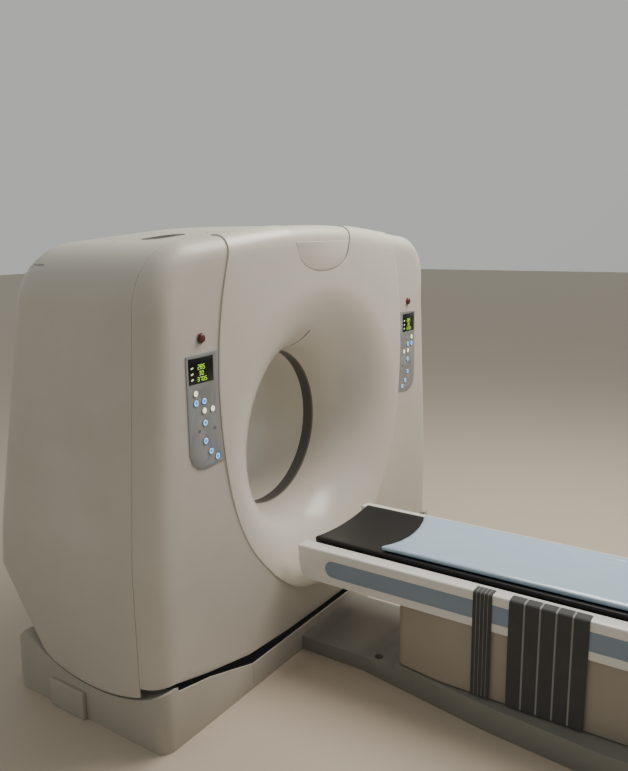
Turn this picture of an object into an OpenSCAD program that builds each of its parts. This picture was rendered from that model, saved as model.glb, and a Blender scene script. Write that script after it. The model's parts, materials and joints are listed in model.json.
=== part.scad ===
// CT scanner: a tilting ring gantry on a cradle base, with its patient couch at the lowest height.
// The front and the couch face -Y. The origin is on the floor, straight below the isocentre.

/* [Gantry] */
// Height of the isocentre, which is also the tilt axis, above the floor
iso_h = 890; // [870:5:930]
// Diameter of the patient bore
bore_d = 700; // [680:5:720]
// Greatest width of the gantry covers
gantry_w = 2092; // [2070:2:2130]
// Distance from the isocentre to the front face
front_y = 330; // [320:2:344]
// Height of the crown above the isocentre
crown_rise = 906; // [890:2:930]
// Distance from the isocentre back to the rear-most edge of the covers
rear_y = 565; // [550:5:600]
// Height of that rear-most edge below the isocentre
rear_drop = 400; // [380:5:420]
// Lean of the rear face, top forward
rear_lean = 8; // [6:0.5:10]
// Lean of the side faces above their widest line
side_lean = 4.7; // [3.5:0.1:6]
// Height of the widest line of the side faces above the floor
widest_h = 700; // [650:10:760]
// Slope of each half of the crown
crown_slope = 5.5; // [4.5:0.1:6.5]
// Radius of the shoulders seen from the front
shoulder_r = 230; // [180:5:260]
// Radius of the vertical front corners
front_corner_r = 95; // [70:5:110]
// Radius of the vertical rear corners
rear_corner_r = 120; // [80:5:140]
// Radius of the top front edge
brow_r = 60; // [40:5:70]
// Wall of the moulded covers
skin_t = 6; // [4:0.5:8]
// Seam between two covers
seam = 0.8; // [0.5:0.1:0.9]
// Distance of the front cover's seam ahead of the isocentre
seam_y = 245; // [225:5:250]
// Half width of the top cover
top_half_w = 440; // [400:10:470]
// Radius of the covers' lower edge about the tilt axis
hem_r = 735; // [725:5:745]
// Radius of the front cover's lower edge about the tilt axis, at its middle
belly_r = 838; // [825:1:840]

/* [Funnel] */
// Half length of the dark scan window in the throat
window_half = 29; // [20:1:40]
// Wall of the scan window
window_t = 3; // [2:0.5:5]
// Height of the funnel's raised lip over the front cover
lip = 5; // [3:0.5:8]
// Width of the funnel's flange at its widest
flange_w = 1356; // [1340:4:1370]
// Half angle of the rear funnel
rear_flare = 20; // [15:1:25]
// Distance behind the isocentre where the rear funnel starts to open
rear_flare_y = 250; // [240:5:270]

/* [Base] */
// Inset of the base's sides from the covers' widest line
base_inset = 6; // [4:1:16]
// Distance from the isocentre to the front of the base
base_front = 346; // [342:1:352]
// Distance from the isocentre to the back of the base
base_back = 465; // [455:5:480]
// Running gap between the cradle and the covers that tilt in it
cradle_gap = 12; // [8:1:14]
// Width of the base's side walls
cradle_w = 75; // [65:1:80]
// Height of the base plate
plate_h = 40; // [30:1:45]
// Height of the sill between the side walls
sill_h = 105; // [90:1:110]
// Corner radius of the base
base_r = 50; // [30:5:60]
// Wall of the base covers
base_skin = 6; // [4:0.5:8]
// Width of a pivot post, along the tilt axis
post_w = 60; // [50:2:70]
// Gap between a pivot post and the wall of its base cover
post_clear = 15; // [10:1:20]
// Gap between the carrier plate and a pivot post
carrier_clear = 30; // [24:1:40]
// Diameter of the tilt shafts
tilt_shaft_d = 90; // [70:5:110]
// Radial running clearance of the tilt shafts
shaft_fit = 0.05; // [0.02:0.01:0.1]
// Diameter of the anchor bolt holes
anchor_d = 18; // [14:1:22]

/* [Rotor] */
// Outer radius of the rotor
rotor_r = 640; // [620:5:645]
// Radius of the rotor's hub
hub_r = 400; // [390:2:410]
// Running gap at the main bearing
bearing_gap = 0.5; // [0.3:0.1:0.8]
// Radial width of the fixed bearing ring
bearing_w = 60; // [50:2:70]
// Distance from the isocentre to the front of the carrier plate
carrier_y = 120; // [115:1:130]
// Thickness of the carrier plate
carrier_t = 40; // [30:1:50]
// Radius of the drive pulley
pulley_r = 60; // [50:1:70]
// Thickness of the drive belt
belt_t = 8; // [5:1:10]
// Width of the drive belt
belt_w = 40; // [30:1:44]

/* [Tilt drive] */
// Module of the tilt gears
gear_m = 5; // [4:0.5:6]
// Teeth of a full circle of the tilt sector
sector_teeth = 168; // [160:2:176]
// Teeth of the tilt pinion
pinion_teeth = 16; // [14:1:18]
// Width of the tilt gears
gear_w = 16; // [12:1:20]

/* [Panels] */
// Diameter of a panel key
key_d = 22; // [18:1:24]
// Travel of a panel key
key_travel = 1.2; // [1:0.1:1.5]
// Height of a panel key over its panel
key_h = 3; // [2:0.5:4]
// Diameter of a stop button
stop_d = 30; // [24:1:36]
// Height of a stop button over the cover
stop_h = 12; // [8:1:16]
// Thickness of a panel's face plate
panel_t = 3; // [2:0.5:4]
// Width of a display
display_w = 122; // [110:2:128]
// Height of a display
display_h = 88; // [80:2:94]

/* [Couch] */
// Width of the couch frame
couch_w = 574; // [560:2:600]
// Height of the couch frame's rim
rim_h = 507; // [500:1:520]
// Height of the couch frame's underside
keel_h = 370; // [366:1:380]
// Distance from the isocentre to the head end of the couch frame
couch_y = 372; // [368:1:390]
// Length of the couch frame
couch_l = 2460; // [2400:10:2600]
// Width of the couchtop
top_w = 434; // [420:2:440]
// Height of the couchtop's edge over the rim
top_rise = 16; // [12:1:22]
// Thickness of the couchtop at its edge
top_t = 44; // [38:1:50]
// Hollow of the couchtop at its middle
top_dish = 16; // [10:1:22]
// Length of the bare head end of the couchtop
head_l = 288; // [270:2:310]
// Thickness of the mattress
mattress_t = 26; // [20:1:36]
// Side clearance of the couchtop in its frame
top_side_gap = 10; // [6:1:14]
// Sliding clearance below the couchtop
slide_gap = 0.3; // [0.2:0.1:0.5]
// Width of the couch plinth at its widest
plinth_w = 720; // [700:5:760]
// Width of the plinth's neck
neck_w = 450; // [430:5:470]
// Height of the plinth
plinth_h = 100; // [90:1:104]
// Height of the plinth's neck
neck_h = 62; // [50:1:80]
// Inset of the lift cover's sides from the couch frame's
lift_inset = 7; // [4:1:12]
// Gap between two sleeves of the lift cover
sleeve_gap = 6; // [5:0.5:8]
// Wall of the sleeves
sleeve_t = 4; // [3:0.5:5]
// Thickness of the straps
strap_t = 5; // [3:0.5:7]
// Width of the narrow strap
strap_w1 = 70; // [60:2:90]
// Width of the wide strap
strap_w2 = 268; // [240:4:300]
// Height of the straps' lower ends above the floor
strap_end_h = 108; // [104:2:130]

/* [Hidden] */
$fn = 96;

eps = 0.01;
bore_r = bore_d / 2;
half_w = gantry_w / 2;
base_half = half_w - base_inset;
wall_x = base_half - cradle_w;
post_x = wall_x - post_clear - post_w;
carrier_half_w = post_x - carrier_clear;
crown_h = iso_h + crown_rise;
far = 3000;
seat_gap = 0.3;

// ---- outline helpers
function unit(v) = v / norm(v);
function inset(pts, d) = [for (i = [0:len(pts) - 1])
    let (n = len(pts), a = pts[(i + n - 1) % n], b = pts[i], c = pts[(i + 1) % n],
        u = unit(b - a), v = unit(c - b), p = [-u.y, u.x], q = [-v.y, v.x])
    b + (p + q) * d / (1 + p * q)];
function rounded(pts, rad, steps) = [for (i = [0:len(pts) - 1])
    let (n = len(pts), a = pts[(i + n - 1) % n], b = pts[i], c = pts[(i + 1) % n])
    each rad[i] <= 0 ? [b] :
    let (u = unit(a - b), v = unit(c - b), half = acos(u * v) / 2, mid = unit(u + v),
        cen = b + mid * rad[i] / sin(half), s = cen - b - u * (norm(cen - b) * cos(half)),
        a0 = atan2(-s.y, -s.x), turn = 180 - 2 * half, way = u.x * v.y - u.y * v.x > 0 ? -1 : 1)
    [for (k = [0:steps[i]]) cen + rad[i] * [cos(a0 + way * turn * k / steps[i]),
        sin(a0 + way * turn * k / steps[i])]]];
// A smooth curve through the points, with n steps between two of them
function curve(p, n) = [for (i = [0:len(p) - 2], k = [0:n - 1])
    let (a = p[max(i - 1, 0)], b = p[i], c = p[i + 1], d = p[min(i + 2, len(p) - 1)], t = k / n)
    0.5 * (2 * b + (c - a) * t + (2 * a - 5 * b + 4 * c - d) * t * t
        + (3 * b - 3 * c + d - a) * t * t * t)];
function backward(p) = [for (i = [len(p) - 1:-1:0]) p[i]];
function flip(p) = [for (q = backward(p)) [-q.x, q.y]];
module mirrored() { children(); mirror([1, 0, 0]) children(); }
// Extrudes an outline drawn in X and Z between two distances along Y
module along_y(y0, y1) translate([0, y1, 0]) rotate([90, 0, 0]) linear_extrude(y1 - y0) children();
// Extrudes an outline drawn in Y and Z between two distances along X
module along_x(x0, x1)
    translate([x0, 0, 0]) rotate([90, 0, 90]) linear_extrude(x1 - x0) children();
module disc_x(r, x0, x1, y, z) translate([x0, y, z]) rotate([0, 90, 0]) cylinder(h = x1 - x0, r = r);
module disc_y(r, y0, y1, x, z) translate([x, y1, z]) rotate([90, 0, 0]) cylinder(h = y1 - y0, r = r);
// A tube about the bore's axis
module ring_y(r0, r1, y0, y1) difference() {
    disc_y(r1, y0, y1, 0, iso_h);
    disc_y(r0, y0 - 1, y1 + 1, 0, iso_h);
}

// ---- the closed form of the gantry covers, d inside the outer skin
shoulder_x = half_w - (crown_rise + iso_h - widest_h) * tan(side_lean) * 0.95;
front_form = let (s = [shoulder_x, crown_h - shoulder_x * tan(crown_slope)])
    [[half_w, widest_h], s, [0, crown_h], [-s.x, s.y], [-half_w, widest_h], [-half_w, -300],
    [half_w, -300]];
module front_view(d)
    along_y(-far, far) polygon(rounded(inset(front_form, d),
        [3000, shoulder_r - d, 4500, shoulder_r - d, 3000, 0, 0], [5, 10, 12, 10, 5, 1, 1]));
// Plan outline whose outer edge lies at half_w, for the rounded vertical front corners
module plan_view(d) polygon(rounded(inset([[-half_w, -front_y], [half_w, -front_y],
    [half_w, far], [-half_w, far]], d), [front_corner_r - d, front_corner_r - d, 0, 0],
    [8, 8, 1, 1]));
module leaning_side(d) translate([half_w, 0, widest_h]) rotate([0, -side_lean, 0])
    translate([-half_w, 0, -far]) linear_extrude(2 * far) polygon(rounded(
        inset([[-far, -front_y], [half_w, -front_y], [half_w, far], [-far, far]], d),
        [0, front_corner_r - d, 0, 0], [1, 8, 1, 1]));
rear_z = iso_h - rear_drop;
chin_lean = 35;
// Side view: front face, brow, rear top edge, rear face, chin
side_form = let (top = crown_h + 4, ty = rear_y - (crown_h - rear_z) * tan(rear_lean),
        cz = rear_z + 400)
    [[-front_y, -300], [rear_y - (rear_z + 300) * tan(chin_lean), -300], [rear_y, rear_z],
    [ty, top], [-front_y, top]];
module side_view(d) along_x(-far, far) polygon(rounded(inset(side_form, d),
    [0, 0, 70 - d, 110 - d, brow_r - d], [1, 1, 6, 7, 8]));
module rear_corners(d) translate([0, rear_y, rear_z]) rotate([rear_lean, 0, 0])
    translate([0, -rear_y, -far]) linear_extrude(2 * far) polygon(rounded(
        inset([[-half_w, -far], [half_w, -far], [half_w, rear_y], [-half_w, rear_y]], d),
        [0, 0, rear_corner_r - d, rear_corner_r - d], [1, 1, 8, 8]));
module form(d = 0) intersection() {
    front_view(d);
    linear_extrude(far) plan_view(d);
    leaning_side(d);
    mirror([1, 0, 0]) leaning_side(d);
    side_view(d);
    rear_corners(d);
}
module skin() difference() { form(); form(skin_t); }
module hem() {
    disc_x(hem_r, -far, far, 0, iso_h);
    translate([-far, -far, iso_h]) cube(2 * far);
}

// ---- the funnel's flange outline, in X and Z
lip_y = front_y + lip;
flare_r = lip_y - window_half;
mouth_r = bore_r + flare_r;
flange_h = flange_w / 2;
lip_low = iso_h - mouth_r;
lobe = [[0, lip_low - 2], [0.22 * flange_h, lip_low + 20], [0.42 * flange_h, lip_low + 84],
    [0.635 * flange_h, lip_low + 216], [0.79 * flange_h, lip_low + 350],
    [0.926 * flange_h, lip_low + 574], [0.985 * flange_h, lip_low + 801],
    [flange_h, lip_low + 1006], [0.976 * flange_h, lip_low + 1196],
    [0.905 * flange_h, crown_h - 156]];
over = crown_h + 40;
brow_edge = [[0.885 * flange_h, crown_h - 106], [0.866 * flange_h, crown_h - 36],
    [0.85 * flange_h, over]];
// Edge of the top cover's tongue, from above the crown down
notch = [[240, over], [216, crown_h - 48], [197, crown_h - 96], [180, crown_h - 141],
    [150, crown_h - 172], [105, crown_h - 193], [55, crown_h - 202], [0, crown_h - 206]];
function closed(p) = concat(p, flip([for (i = [1:len(p) - 1]) p[i]]));
flange_side = concat(curve(lobe, 5), [lobe[len(lobe) - 1]], brow_edge);
flange = closed(concat(flange_side, curve(notch, 4)));
tongue = closed(backward(concat(curve(notch, 4), [[0, crown_h - 206]])));
// The flange's edge at height z, from the lobe's own points
function edge_x(z) = lookup(z, [for (p = lobe) [p.y, p.x]]);
// What lies inside the funnel's surface, moved out by t
module bore_void(t) translate([0, 0, iso_h]) rotate([90, 0, 0]) rotate_extrude($fn = 180) {
    difference() {
        translate([0, window_half]) square([mouth_r, flare_r + 200]);
        translate([mouth_r, window_half]) circle(flare_r - t);
    }
    polygon([[0, window_half + eps], [bore_r + t, window_half + eps],
        [bore_r + t, -rear_flare_y],
        [bore_r + t + rear_y * tan(rear_flare), -rear_flare_y - rear_y],
        [0, -rear_flare_y - rear_y]]);
}

// ---- covers
panel_top = 1357;
panel_low = 950;
panel_out = 838;
panel_pts = concat([for (z = [panel_low + 10, 1000, 1050, 1100, 1150, 1240, panel_top])
        [edge_x(z) + 6, z]], [[panel_out, panel_top - 7], [panel_out, panel_low + 62],
    [panel_out - 12, panel_low + 30], [panel_out - 38, panel_low + 8], [panel_out - 80, panel_low]]);
panel_face = backward(panel_pts);
keys = [[800, 1222], [800, 1189], [760, 1190], [761, 1157], [719, 1156], [759, 1114],
    [760, 1050], [735, 1008], [703, 982]];
display_at = [767, 1298];
stop_at = [760, 1404];
stop_fit = 0.3;
tray_rim = 7;
module panel_cut(d) along_y(-front_y - 20, -front_y + 60) polygon(inset(panel_face, -d));
front_hem = [[-far, far], [-far, iso_h - 658], [-960, iso_h - 658], [-800, iso_h - 700],
    [-560, iso_h - belly_r + 88], [-300, iso_h - belly_r + 72], [0, iso_h - belly_r + 68],
    [300, iso_h - belly_r + 72], [560, iso_h - belly_r + 88], [800, iso_h - 700],
    [960, iso_h - 658], [far, iso_h - 658], [far, far]];
module front_cover() color("#E4DFD6") difference() {
    intersection() {
        skin();
        translate([-far, -far, 0]) cube([2 * far, far - seam_y, far]);
        along_y(-far, 0) polygon(front_hem);
    }
    along_y(-far, 0) polygon(inset(closed(flange_side), -seam));
    mirrored() along_y(-far, -seam_y - 40) polygon(inset(panel_face, tray_rim));
    mirrored() disc_y(stop_d / 2 + stop_fit, -front_y - 20, -front_y + 20, stop_at.x, stop_at.y);
}
slit_w = 6;
slit_r = [376, 452];
module slit(d) translate([-slit_w / 2 - d, -front_y, iso_h + slit_r[0] - d])
    cube([slit_w + 2 * d, front_y, slit_r[1] - slit_r[0] + 2 * d]);
module aperture(r) translate([0, -window_half - 20, iso_h + bore_r - 40])
    cylinder(h = 100, r = r);
module funnel_skin(a, b) difference() {
    bore_void(b);
    bore_void(a);
}
module bore_funnel() color("#EFEAE2") difference() {
    intersection() {
        union() {
            intersection() {
                funnel_skin(0, skin_t);
                disc_y(mouth_r, -lip_y - 1, -window_half, 0, iso_h);
            }
            difference() {
                intersection() {
                    form(-lip);
                    translate([-far, -far, 0]) cube([2 * far, far - seam_y, far]);
                }
                form(skin_t - lip);
                disc_y(mouth_r - eps, -far, far, 0, iso_h);
            }
        }
        along_y(-far, far) polygon(flange);
    }
    slit(seat_gap);
    aperture(9 + seat_gap);
}
module laser_windows() color("#2A2C30") intersection() {
    funnel_skin(0.5, skin_t - 0.5);
    union() { slit(0); aperture(9); }
}
module scan_window() color("#2B2D31")
    ring_y(bore_r, bore_r + window_t, -window_half + eps, window_half - eps);
module vent_slot(l, w) {
    translate([-l / 2, -w / 2]) square([l, w]);
    for (s = [-1, 1]) translate([s * l / 2, 0]) circle(w / 2);
}
vent_at = [610, -35];
vent_l = 96;
vent_w = 92;
vent_bar = 8;
module vent_prism(d) translate([vent_at.x, vent_at.y, crown_h - 200]) linear_extrude(400)
    vent_slot(vent_l, vent_w + 2 * d);
module top_vents() color("#6D6A66") mirrored() difference() {
    intersection() {
        difference() { form(-1); form(skin_t - 1); }
        vent_prism(-0.5);
    }
    for (k = [-2:2]) translate([vent_at.x, vent_at.y + k * 2 * vent_bar, crown_h - 200])
        linear_extrude(400) vent_slot(vent_l - abs(k) * 14, vent_bar);
}
rear_half_w = half_w - rear_corner_r - 6;
rear_top_h = crown_h - 150;
module rear_box(d) translate([-rear_half_w - d, rear_flare_y - d, -100])
    cube([2 * (rear_half_w + d), far, rear_top_h + d + 100]);
module side_cover(s) color("#DDD8CE") difference() {
    intersection() {
        skin();
        translate([s > 0 ? top_half_w : -far - top_half_w, -seam_y + seam, 0])
            cube([far, far, far]);
        hem();
    }
    rear_box(seam);
    mirrored() vent_prism(0);
}
module side_cover_left() side_cover(-1);
module side_cover_right() side_cover(1);
module top_cover() color("#E1DCD3") difference() {
    intersection() {
        skin();
        union() {
            translate([-top_half_w + seam, -seam_y + seam, crown_h - 300])
                cube([2 * (top_half_w - seam), far, far]);
            along_y(-far, 2 - seam_y) polygon(inset(tongue, seam));
        }
    }
    rear_box(seam);
}
module rear_cover() color("#DDD8CE") difference() {
    intersection() { skin(); rear_box(0); hem(); }
    bore_void(skin_t + seam);
}
module rear_funnel() color("#E9E4DC") intersection() {
    funnel_skin(0, skin_t);
    translate([-far, window_half, 0]) cube([2 * far, far, far]);
    form();
}
plate_rim = 5;
module emblem_plate() color("#EFEBE4") along_y(-front_y - 3, -front_y) intersection() {
    polygon(inset(tongue, plate_rim));
    translate([-far, 0]) square([2 * far, crown_h - 86]);
}

// ---- control panels
key_fit = 0.3;
flange_t = 3;
board_y = -front_y + seat_gap + flange_t + key_travel + seat_gap;
module panel() difference() {
    union() {
        along_y(-front_y - panel_t, -front_y) polygon(panel_face);
        difference() {
            along_y(-front_y - eps, board_y + 2) polygon(inset(panel_face, tray_rim + 1));
            along_y(-front_y, board_y) polygon(inset(panel_face, tray_rim + 3));
        }
    }
    for (k = keys) disc_y(key_d / 2 + key_fit, -front_y - panel_t - 1, -front_y + 1, k.x, k.y);
    translate([display_at.x - display_w / 2 - seat_gap, -front_y - panel_t - 1,
        display_at.y - display_h / 2 - seat_gap])
        cube([display_w + 2 * seat_gap, 3, display_h + 2 * seat_gap]);
}
module panel_left() color("#D9DBE0") mirror([1, 0, 0]) panel();
module panel_right() color("#D9DBE0") panel();
module displays() color("#101214") mirrored()
    translate([display_at.x - display_w / 2, -front_y - panel_t - 1,
        display_at.y - display_h / 2]) cube([display_w, 3, display_h]);
module button(d, h, wall, at) {
    disc_y(d / 2, -front_y - h, -front_y + wall + seat_gap + flange_t, at.x, at.y);
    disc_y(d / 2 + 2.5, -front_y + wall + seat_gap, -front_y + wall + seat_gap + flange_t,
        at.x, at.y);
}
function white(i) = i == 0 || i == 3 || i == 4;
module key(i, s) color(white(i) ? "#F6F2E2" : "#5AA9EE") mirror([s < 0 ? 1 : 0, 0, 0])
    button(key_d, panel_t + key_h, 0, keys[i]);
module stop(s) color("#7E2226") mirror([s < 0 ? 1 : 0, 0, 0])
    button(stop_d, stop_h, skin_t, stop_at);
module key_left_1() key(0, -1);
module key_left_2() key(1, -1);
module key_left_3() key(2, -1);
module key_left_4() key(3, -1);
module key_left_5() key(4, -1);
module key_left_6() key(5, -1);
module key_left_7() key(6, -1);
module key_left_8() key(7, -1);
module key_left_9() key(8, -1);
module key_right_1() key(0, 1);
module key_right_2() key(1, 1);
module key_right_3() key(2, 1);
module key_right_4() key(3, 1);
module key_right_5() key(4, 1);
module key_right_6() key(5, 1);
module key_right_7() key(6, 1);
module key_right_8() key(7, 1);
module key_right_9() key(8, 1);
module stop_left() stop(-1);
module stop_right() stop(1);

// ---- the tilting carrier and what it holds
carrier_low = iso_h - 690;
carrier_top = iso_h + 710;
race_r = hub_r + bearing_gap + bearing_w;
tilt_r = tilt_shaft_d / 2;
pitch_sector = gear_m * sector_teeth / 2;
pitch_pinion = gear_m * pinion_teeth / 2;
gear_back = 0.5;
// Straight-flanked teeth: pitch radius r of n teeth, turned so that a tooth stands at angle a
function teeth(n, r, a, from, to) = [for (k = [from:to - 1])
    let (p = 360 / n, c = a + k * p, w = 90 / n - gear_back / r * 28.6,
        f = gear_m * 0.34 / r * 57.3)
    each [[r - 1.15 * gear_m, c - w - 1.2 * f], [r + 0.8 * gear_m, c - w + 0.85 * f],
        [r + 0.8 * gear_m, c + w - 0.85 * f], [r - 1.15 * gear_m, c + w + 1.2 * f]]];
function polar(p) = [p[0] * sin(p[1]), -p[0] * cos(p[1])];
post_lean = 15;
sector_from = round((-24 - post_lean) / 360 * sector_teeth);
sector_to = round((29 - post_lean) / 360 * sector_teeth);
gear_x = post_x - 12 - gear_w;
cover_rods = [[flange_h - 23, iso_h + 350], [400, carrier_top - 34]];
front_rods = [for (z = [600, -545]) [carrier_half_w - 90, iso_h + z]];
rod_r = 12;
module tilt_frame() color("#8C9196") {
    difference() {
        union() {
            along_y(carrier_y, carrier_y + carrier_t) polygon(rounded(
                [[-carrier_half_w, carrier_low], [carrier_half_w, carrier_low],
                [carrier_half_w, carrier_top], [-carrier_half_w, carrier_top]],
                [140, 140, 190, 190], [6, 6, 8, 8]));
            mirrored() {
                translate([carrier_half_w - 90, -70, iso_h - 130])
                    cube([60, carrier_y + 80, 260]);
                disc_x(tilt_r + 30, carrier_half_w - 40, post_x - 2, 0, iso_h);
                disc_x(tilt_r, carrier_half_w - 20, post_x + post_w + 10, 0, iso_h);
            }
            // Toothed tilt sector on the right-hand shaft
            translate([gear_x, 0, iso_h]) rotate([90, 0, 90]) linear_extrude(gear_w)
                polygon(concat([for (p = teeth(sector_teeth, pitch_sector, post_lean,
                    sector_from, sector_to)) polar(p)], [[100, 40], [-100, 40]]));
            for (p = front_rods) mirrored()
                disc_y(rod_r, -front_y + skin_t + seat_gap, carrier_y + 1, p.x, p.y);
            for (p = cover_rods) mirrored()
                disc_y(rod_r, -lip_y + skin_t, carrier_y + 1, p.x, p.y);
            intersection() {
                form(skin_t + seat_gap);
                mirrored() {
                    translate([carrier_half_w - 10, carrier_y, iso_h + 420])
                        cube([400, carrier_t, 50]);
                    translate([200, carrier_y, carrier_top - 10]) cube([60, carrier_t, 400]);
                    disc_y(rod_r, carrier_y + 10, far, carrier_half_w - 80, iso_h + 480);
                    disc_y(rod_r, carrier_y + 10, far, carrier_half_w - 80, iso_h - 380);
                }
            }
        }
        disc_y(race_r, carrier_y - 1, carrier_y + carrier_t + 1, 0, iso_h);
        disc_y(30, carrier_y - 1, carrier_y + carrier_t + 1, pulley_at.x, pulley_at.y);
        mirrored() for (z = [iso_h - 420, iso_h + 430])
            translate([carrier_half_w - 300, carrier_y - 1, z]) cube([140, carrier_t + 2, 120]);
    }
}
module main_bearing() color("#B9BDC2")
    ring_y(hub_r + bearing_gap, race_r, carrier_y - 5, carrier_y + carrier_t + 5);
pulley_at = [600, iso_h - 550];
pulley_y = [10, 60];
module drive_motor() color("#3F4A55") {
    disc_y(80, carrier_y + carrier_t, carrier_y + carrier_t + 170, pulley_at.x, pulley_at.y);
    ring_pad();
}
module ring_pad() difference() {
    disc_y(100, carrier_y + carrier_t, carrier_y + carrier_t + 12, pulley_at.x, pulley_at.y);
    for (a = [45:90:315]) disc_y(5, carrier_y, carrier_y + far / 10,
        pulley_at.x + 90 * cos(a), pulley_at.y + 90 * sin(a));
}
module motor_pulley() color("#A7ABB0") {
    disc_y(pulley_r, pulley_y[0], pulley_y[1], pulley_at.x, pulley_at.y);
    disc_y(20, pulley_y[1] - 1, carrier_y + carrier_t - seat_gap, pulley_at.x, pulley_at.y);
}
belt_gap = 0.5;
belt_mid = (pulley_y[0] + pulley_y[1]) / 2;
// The belt's path round the rotor and the pulley, d outside their faces
function belt_loop(d) = let (v = pulley_at - [0, iso_h], a = atan2(v.y, v.x),
        b = acos((rotor_r - pulley_r) / norm(v)))
    concat([for (k = [0:90]) let (t = a + b + (360 - 2 * b) * k / 90)
        [0, iso_h] + (rotor_r + d) * [cos(t), sin(t)]],
    [for (k = [0:24]) let (t = a - b + 2 * b * k / 24)
        pulley_at + (pulley_r + d) * [cos(t), sin(t)]]);
module drive_belt() color("#26282B")
    along_y(belt_mid - belt_w / 2, belt_mid + belt_w / 2) difference() {
        polygon(belt_loop(belt_gap + belt_t));
        polygon(belt_loop(belt_gap));
    }

// ---- the rotor: drum, tube, generators and detector
drum_y = [40, 70];
drum_hole = bore_r + 24;
drum_rim = rotor_r - 16;
// The drum's section: hub, web and belt rim, in radius and -Y
drum_section = [[drum_hole, -carrier_y - carrier_t - 30], [hub_r, -carrier_y - carrier_t - 30],
    [hub_r, -drum_y[1]], [rotor_r, -drum_y[1]], [rotor_r, 20 - pulley_y[0]],
    [drum_rim, 20 - pulley_y[0]], [drum_rim, -drum_y[0]], [drum_hole, -drum_y[0]]];
module rotor_drum() color("#9AA0A6") difference() {
    translate([0, 0, iso_h]) rotate([90, 0, 0]) rotate_extrude($fn = 180) polygon(drum_section);
    for (a = [20:40:340]) translate([0, 0, iso_h]) rotate([0, a, 0])
        disc_y(40, drum_y[0] - 1, drum_y[1] + 1, 0, (hub_r + drum_rim) / 2);
}
tube_r = 92;
tube_z = iso_h + (hub_r + rotor_r) / 2;
module xray_tube() color("#C9CCD0") {
    disc_y(tube_r, -150, drum_y[0], 0, tube_z);
    disc_y(tube_r * 0.6, -175, -149, 0, tube_z);
    translate([-70, -40, iso_h + hub_r]) cube([140, 80, 60]);
}
module on_drum(a, w, h, l, r) translate([0, 0, iso_h]) rotate([0, a, 0])
    translate([-w / 2, drum_y[0] - l, r]) cube([w, l, h]);
module hv_generator() color("#4C5B66") {
    on_drum(-80, 300, 150, 170, hub_r + 40);
    on_drum(80, 260, 140, 150, hub_r + 40);
}
detector_span = 56;
module detector_array() color("#5E6E64") intersection() {
    ring_y(rotor_r - 140, rotor_r - 50, -75, drum_y[0]);
    along_y(-200, 200) polygon([for (k = [0, -1, 1]) [k * rotor_r * tan(detector_span / 2),
        iso_h - abs(k) * rotor_r]]);
}

// ---- base
wall_r = hem_r + cradle_gap;
back_slope = [[base_back - 74, iso_h - 637], [base_back, iso_h - 700]];
module base_plan(d) polygon(rounded(inset([[-base_half, -base_front], [base_half, -base_front],
    [base_half, base_back], [-base_half, base_back]], d),
    [base_r - d, base_r - d, base_r - d, base_r - d], [7, 7, 7, 7]));
// Cradle profile of the side walls, in Y and Z, d below its top
module cradle(d) difference() {
    translate([-base_front - 10, 0]) square([base_front + base_back + 20, iso_h - 600]);
    translate([0, iso_h]) circle(wall_r + d, $fn = 240);
    polygon([back_slope[0] + [0, -d], [base_back + 20, back_slope[1].y - 17 - d],
        [base_back + 20, iso_h], [back_slope[0].x, iso_h]]);
}
// Sill profile across the front and the back, in X and Z
sill = [[-far, 0], [far, 0], [far, iso_h - 664], [1000, iso_h - 672], [800, iso_h - 712],
    [560, sill_h], [-560, sill_h], [-800, iso_h - 712], [-1000, iso_h - 672],
    [-far, iso_h - 664]];
sill_half = 560;
module wall_band(x0, x1) translate([x0, -far, -1]) cube([x1 - x0, 2 * far, far]);
module base_cover() difference() {
    intersection() {
        linear_extrude(iso_h) base_plan(0);
        union() {
            intersection() { along_x(-far, far) cradle(0); wall_band(wall_x, far); }
            intersection() {
                along_y(-far, far) polygon(sill);
                wall_band(sill_half + seam, wall_x + 1);
                along_x(-far, far) cradle(0);
                difference() {
                    translate([-far, -far, -1]) cube([2 * far, 2 * far, far]);
                    translate([-far, -base_front + base_skin, -2])
                        cube([2 * far, base_front + base_back - 2 * base_skin, far]);
                }
            }
        }
    }
    intersection() {
        translate([0, 0, -1]) linear_extrude(iso_h) base_plan(base_skin);
        translate([0, 0, -eps]) along_x(wall_x + base_skin, far) cradle(base_skin);
    }
}
module base_cover_left() color("#B9B6AE") mirror([1, 0, 0]) base_cover();
module base_cover_right() color("#B9B6AE") base_cover();
module base_sills() color("#B9B6AE") for (y = [-base_front, base_back - base_skin])
    translate([-sill_half, y, 0]) cube([2 * sill_half, base_skin, sill_h]);
anchor_slab = [187, 16, 108];
anchor_y = 55;
module anchor_covers() color("#BFBCB4") mirrored() {
    translate([base_half, anchor_y, 0]) cube([anchor_slab[1], anchor_slab[0], anchor_slab[2]]);
    translate([base_half - base_r - 150, base_back, 0])
        cube([150, anchor_slab[1] * 3, anchor_slab[2] - 12]);
}
post_foot = [100, 290];
boss_r = tilt_r + 45;
anchor_pts = [for (y = [-260, 400]) [wall_x - 35, y]];
post_top = [for (s = [-1, 1]) [boss_r * s * cos(post_lean), iso_h + boss_r * s * sin(post_lean)]];
pinion_at = (pitch_sector + pitch_pinion) * [sin(post_lean), -cos(post_lean)] + [0, iso_h];
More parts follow.
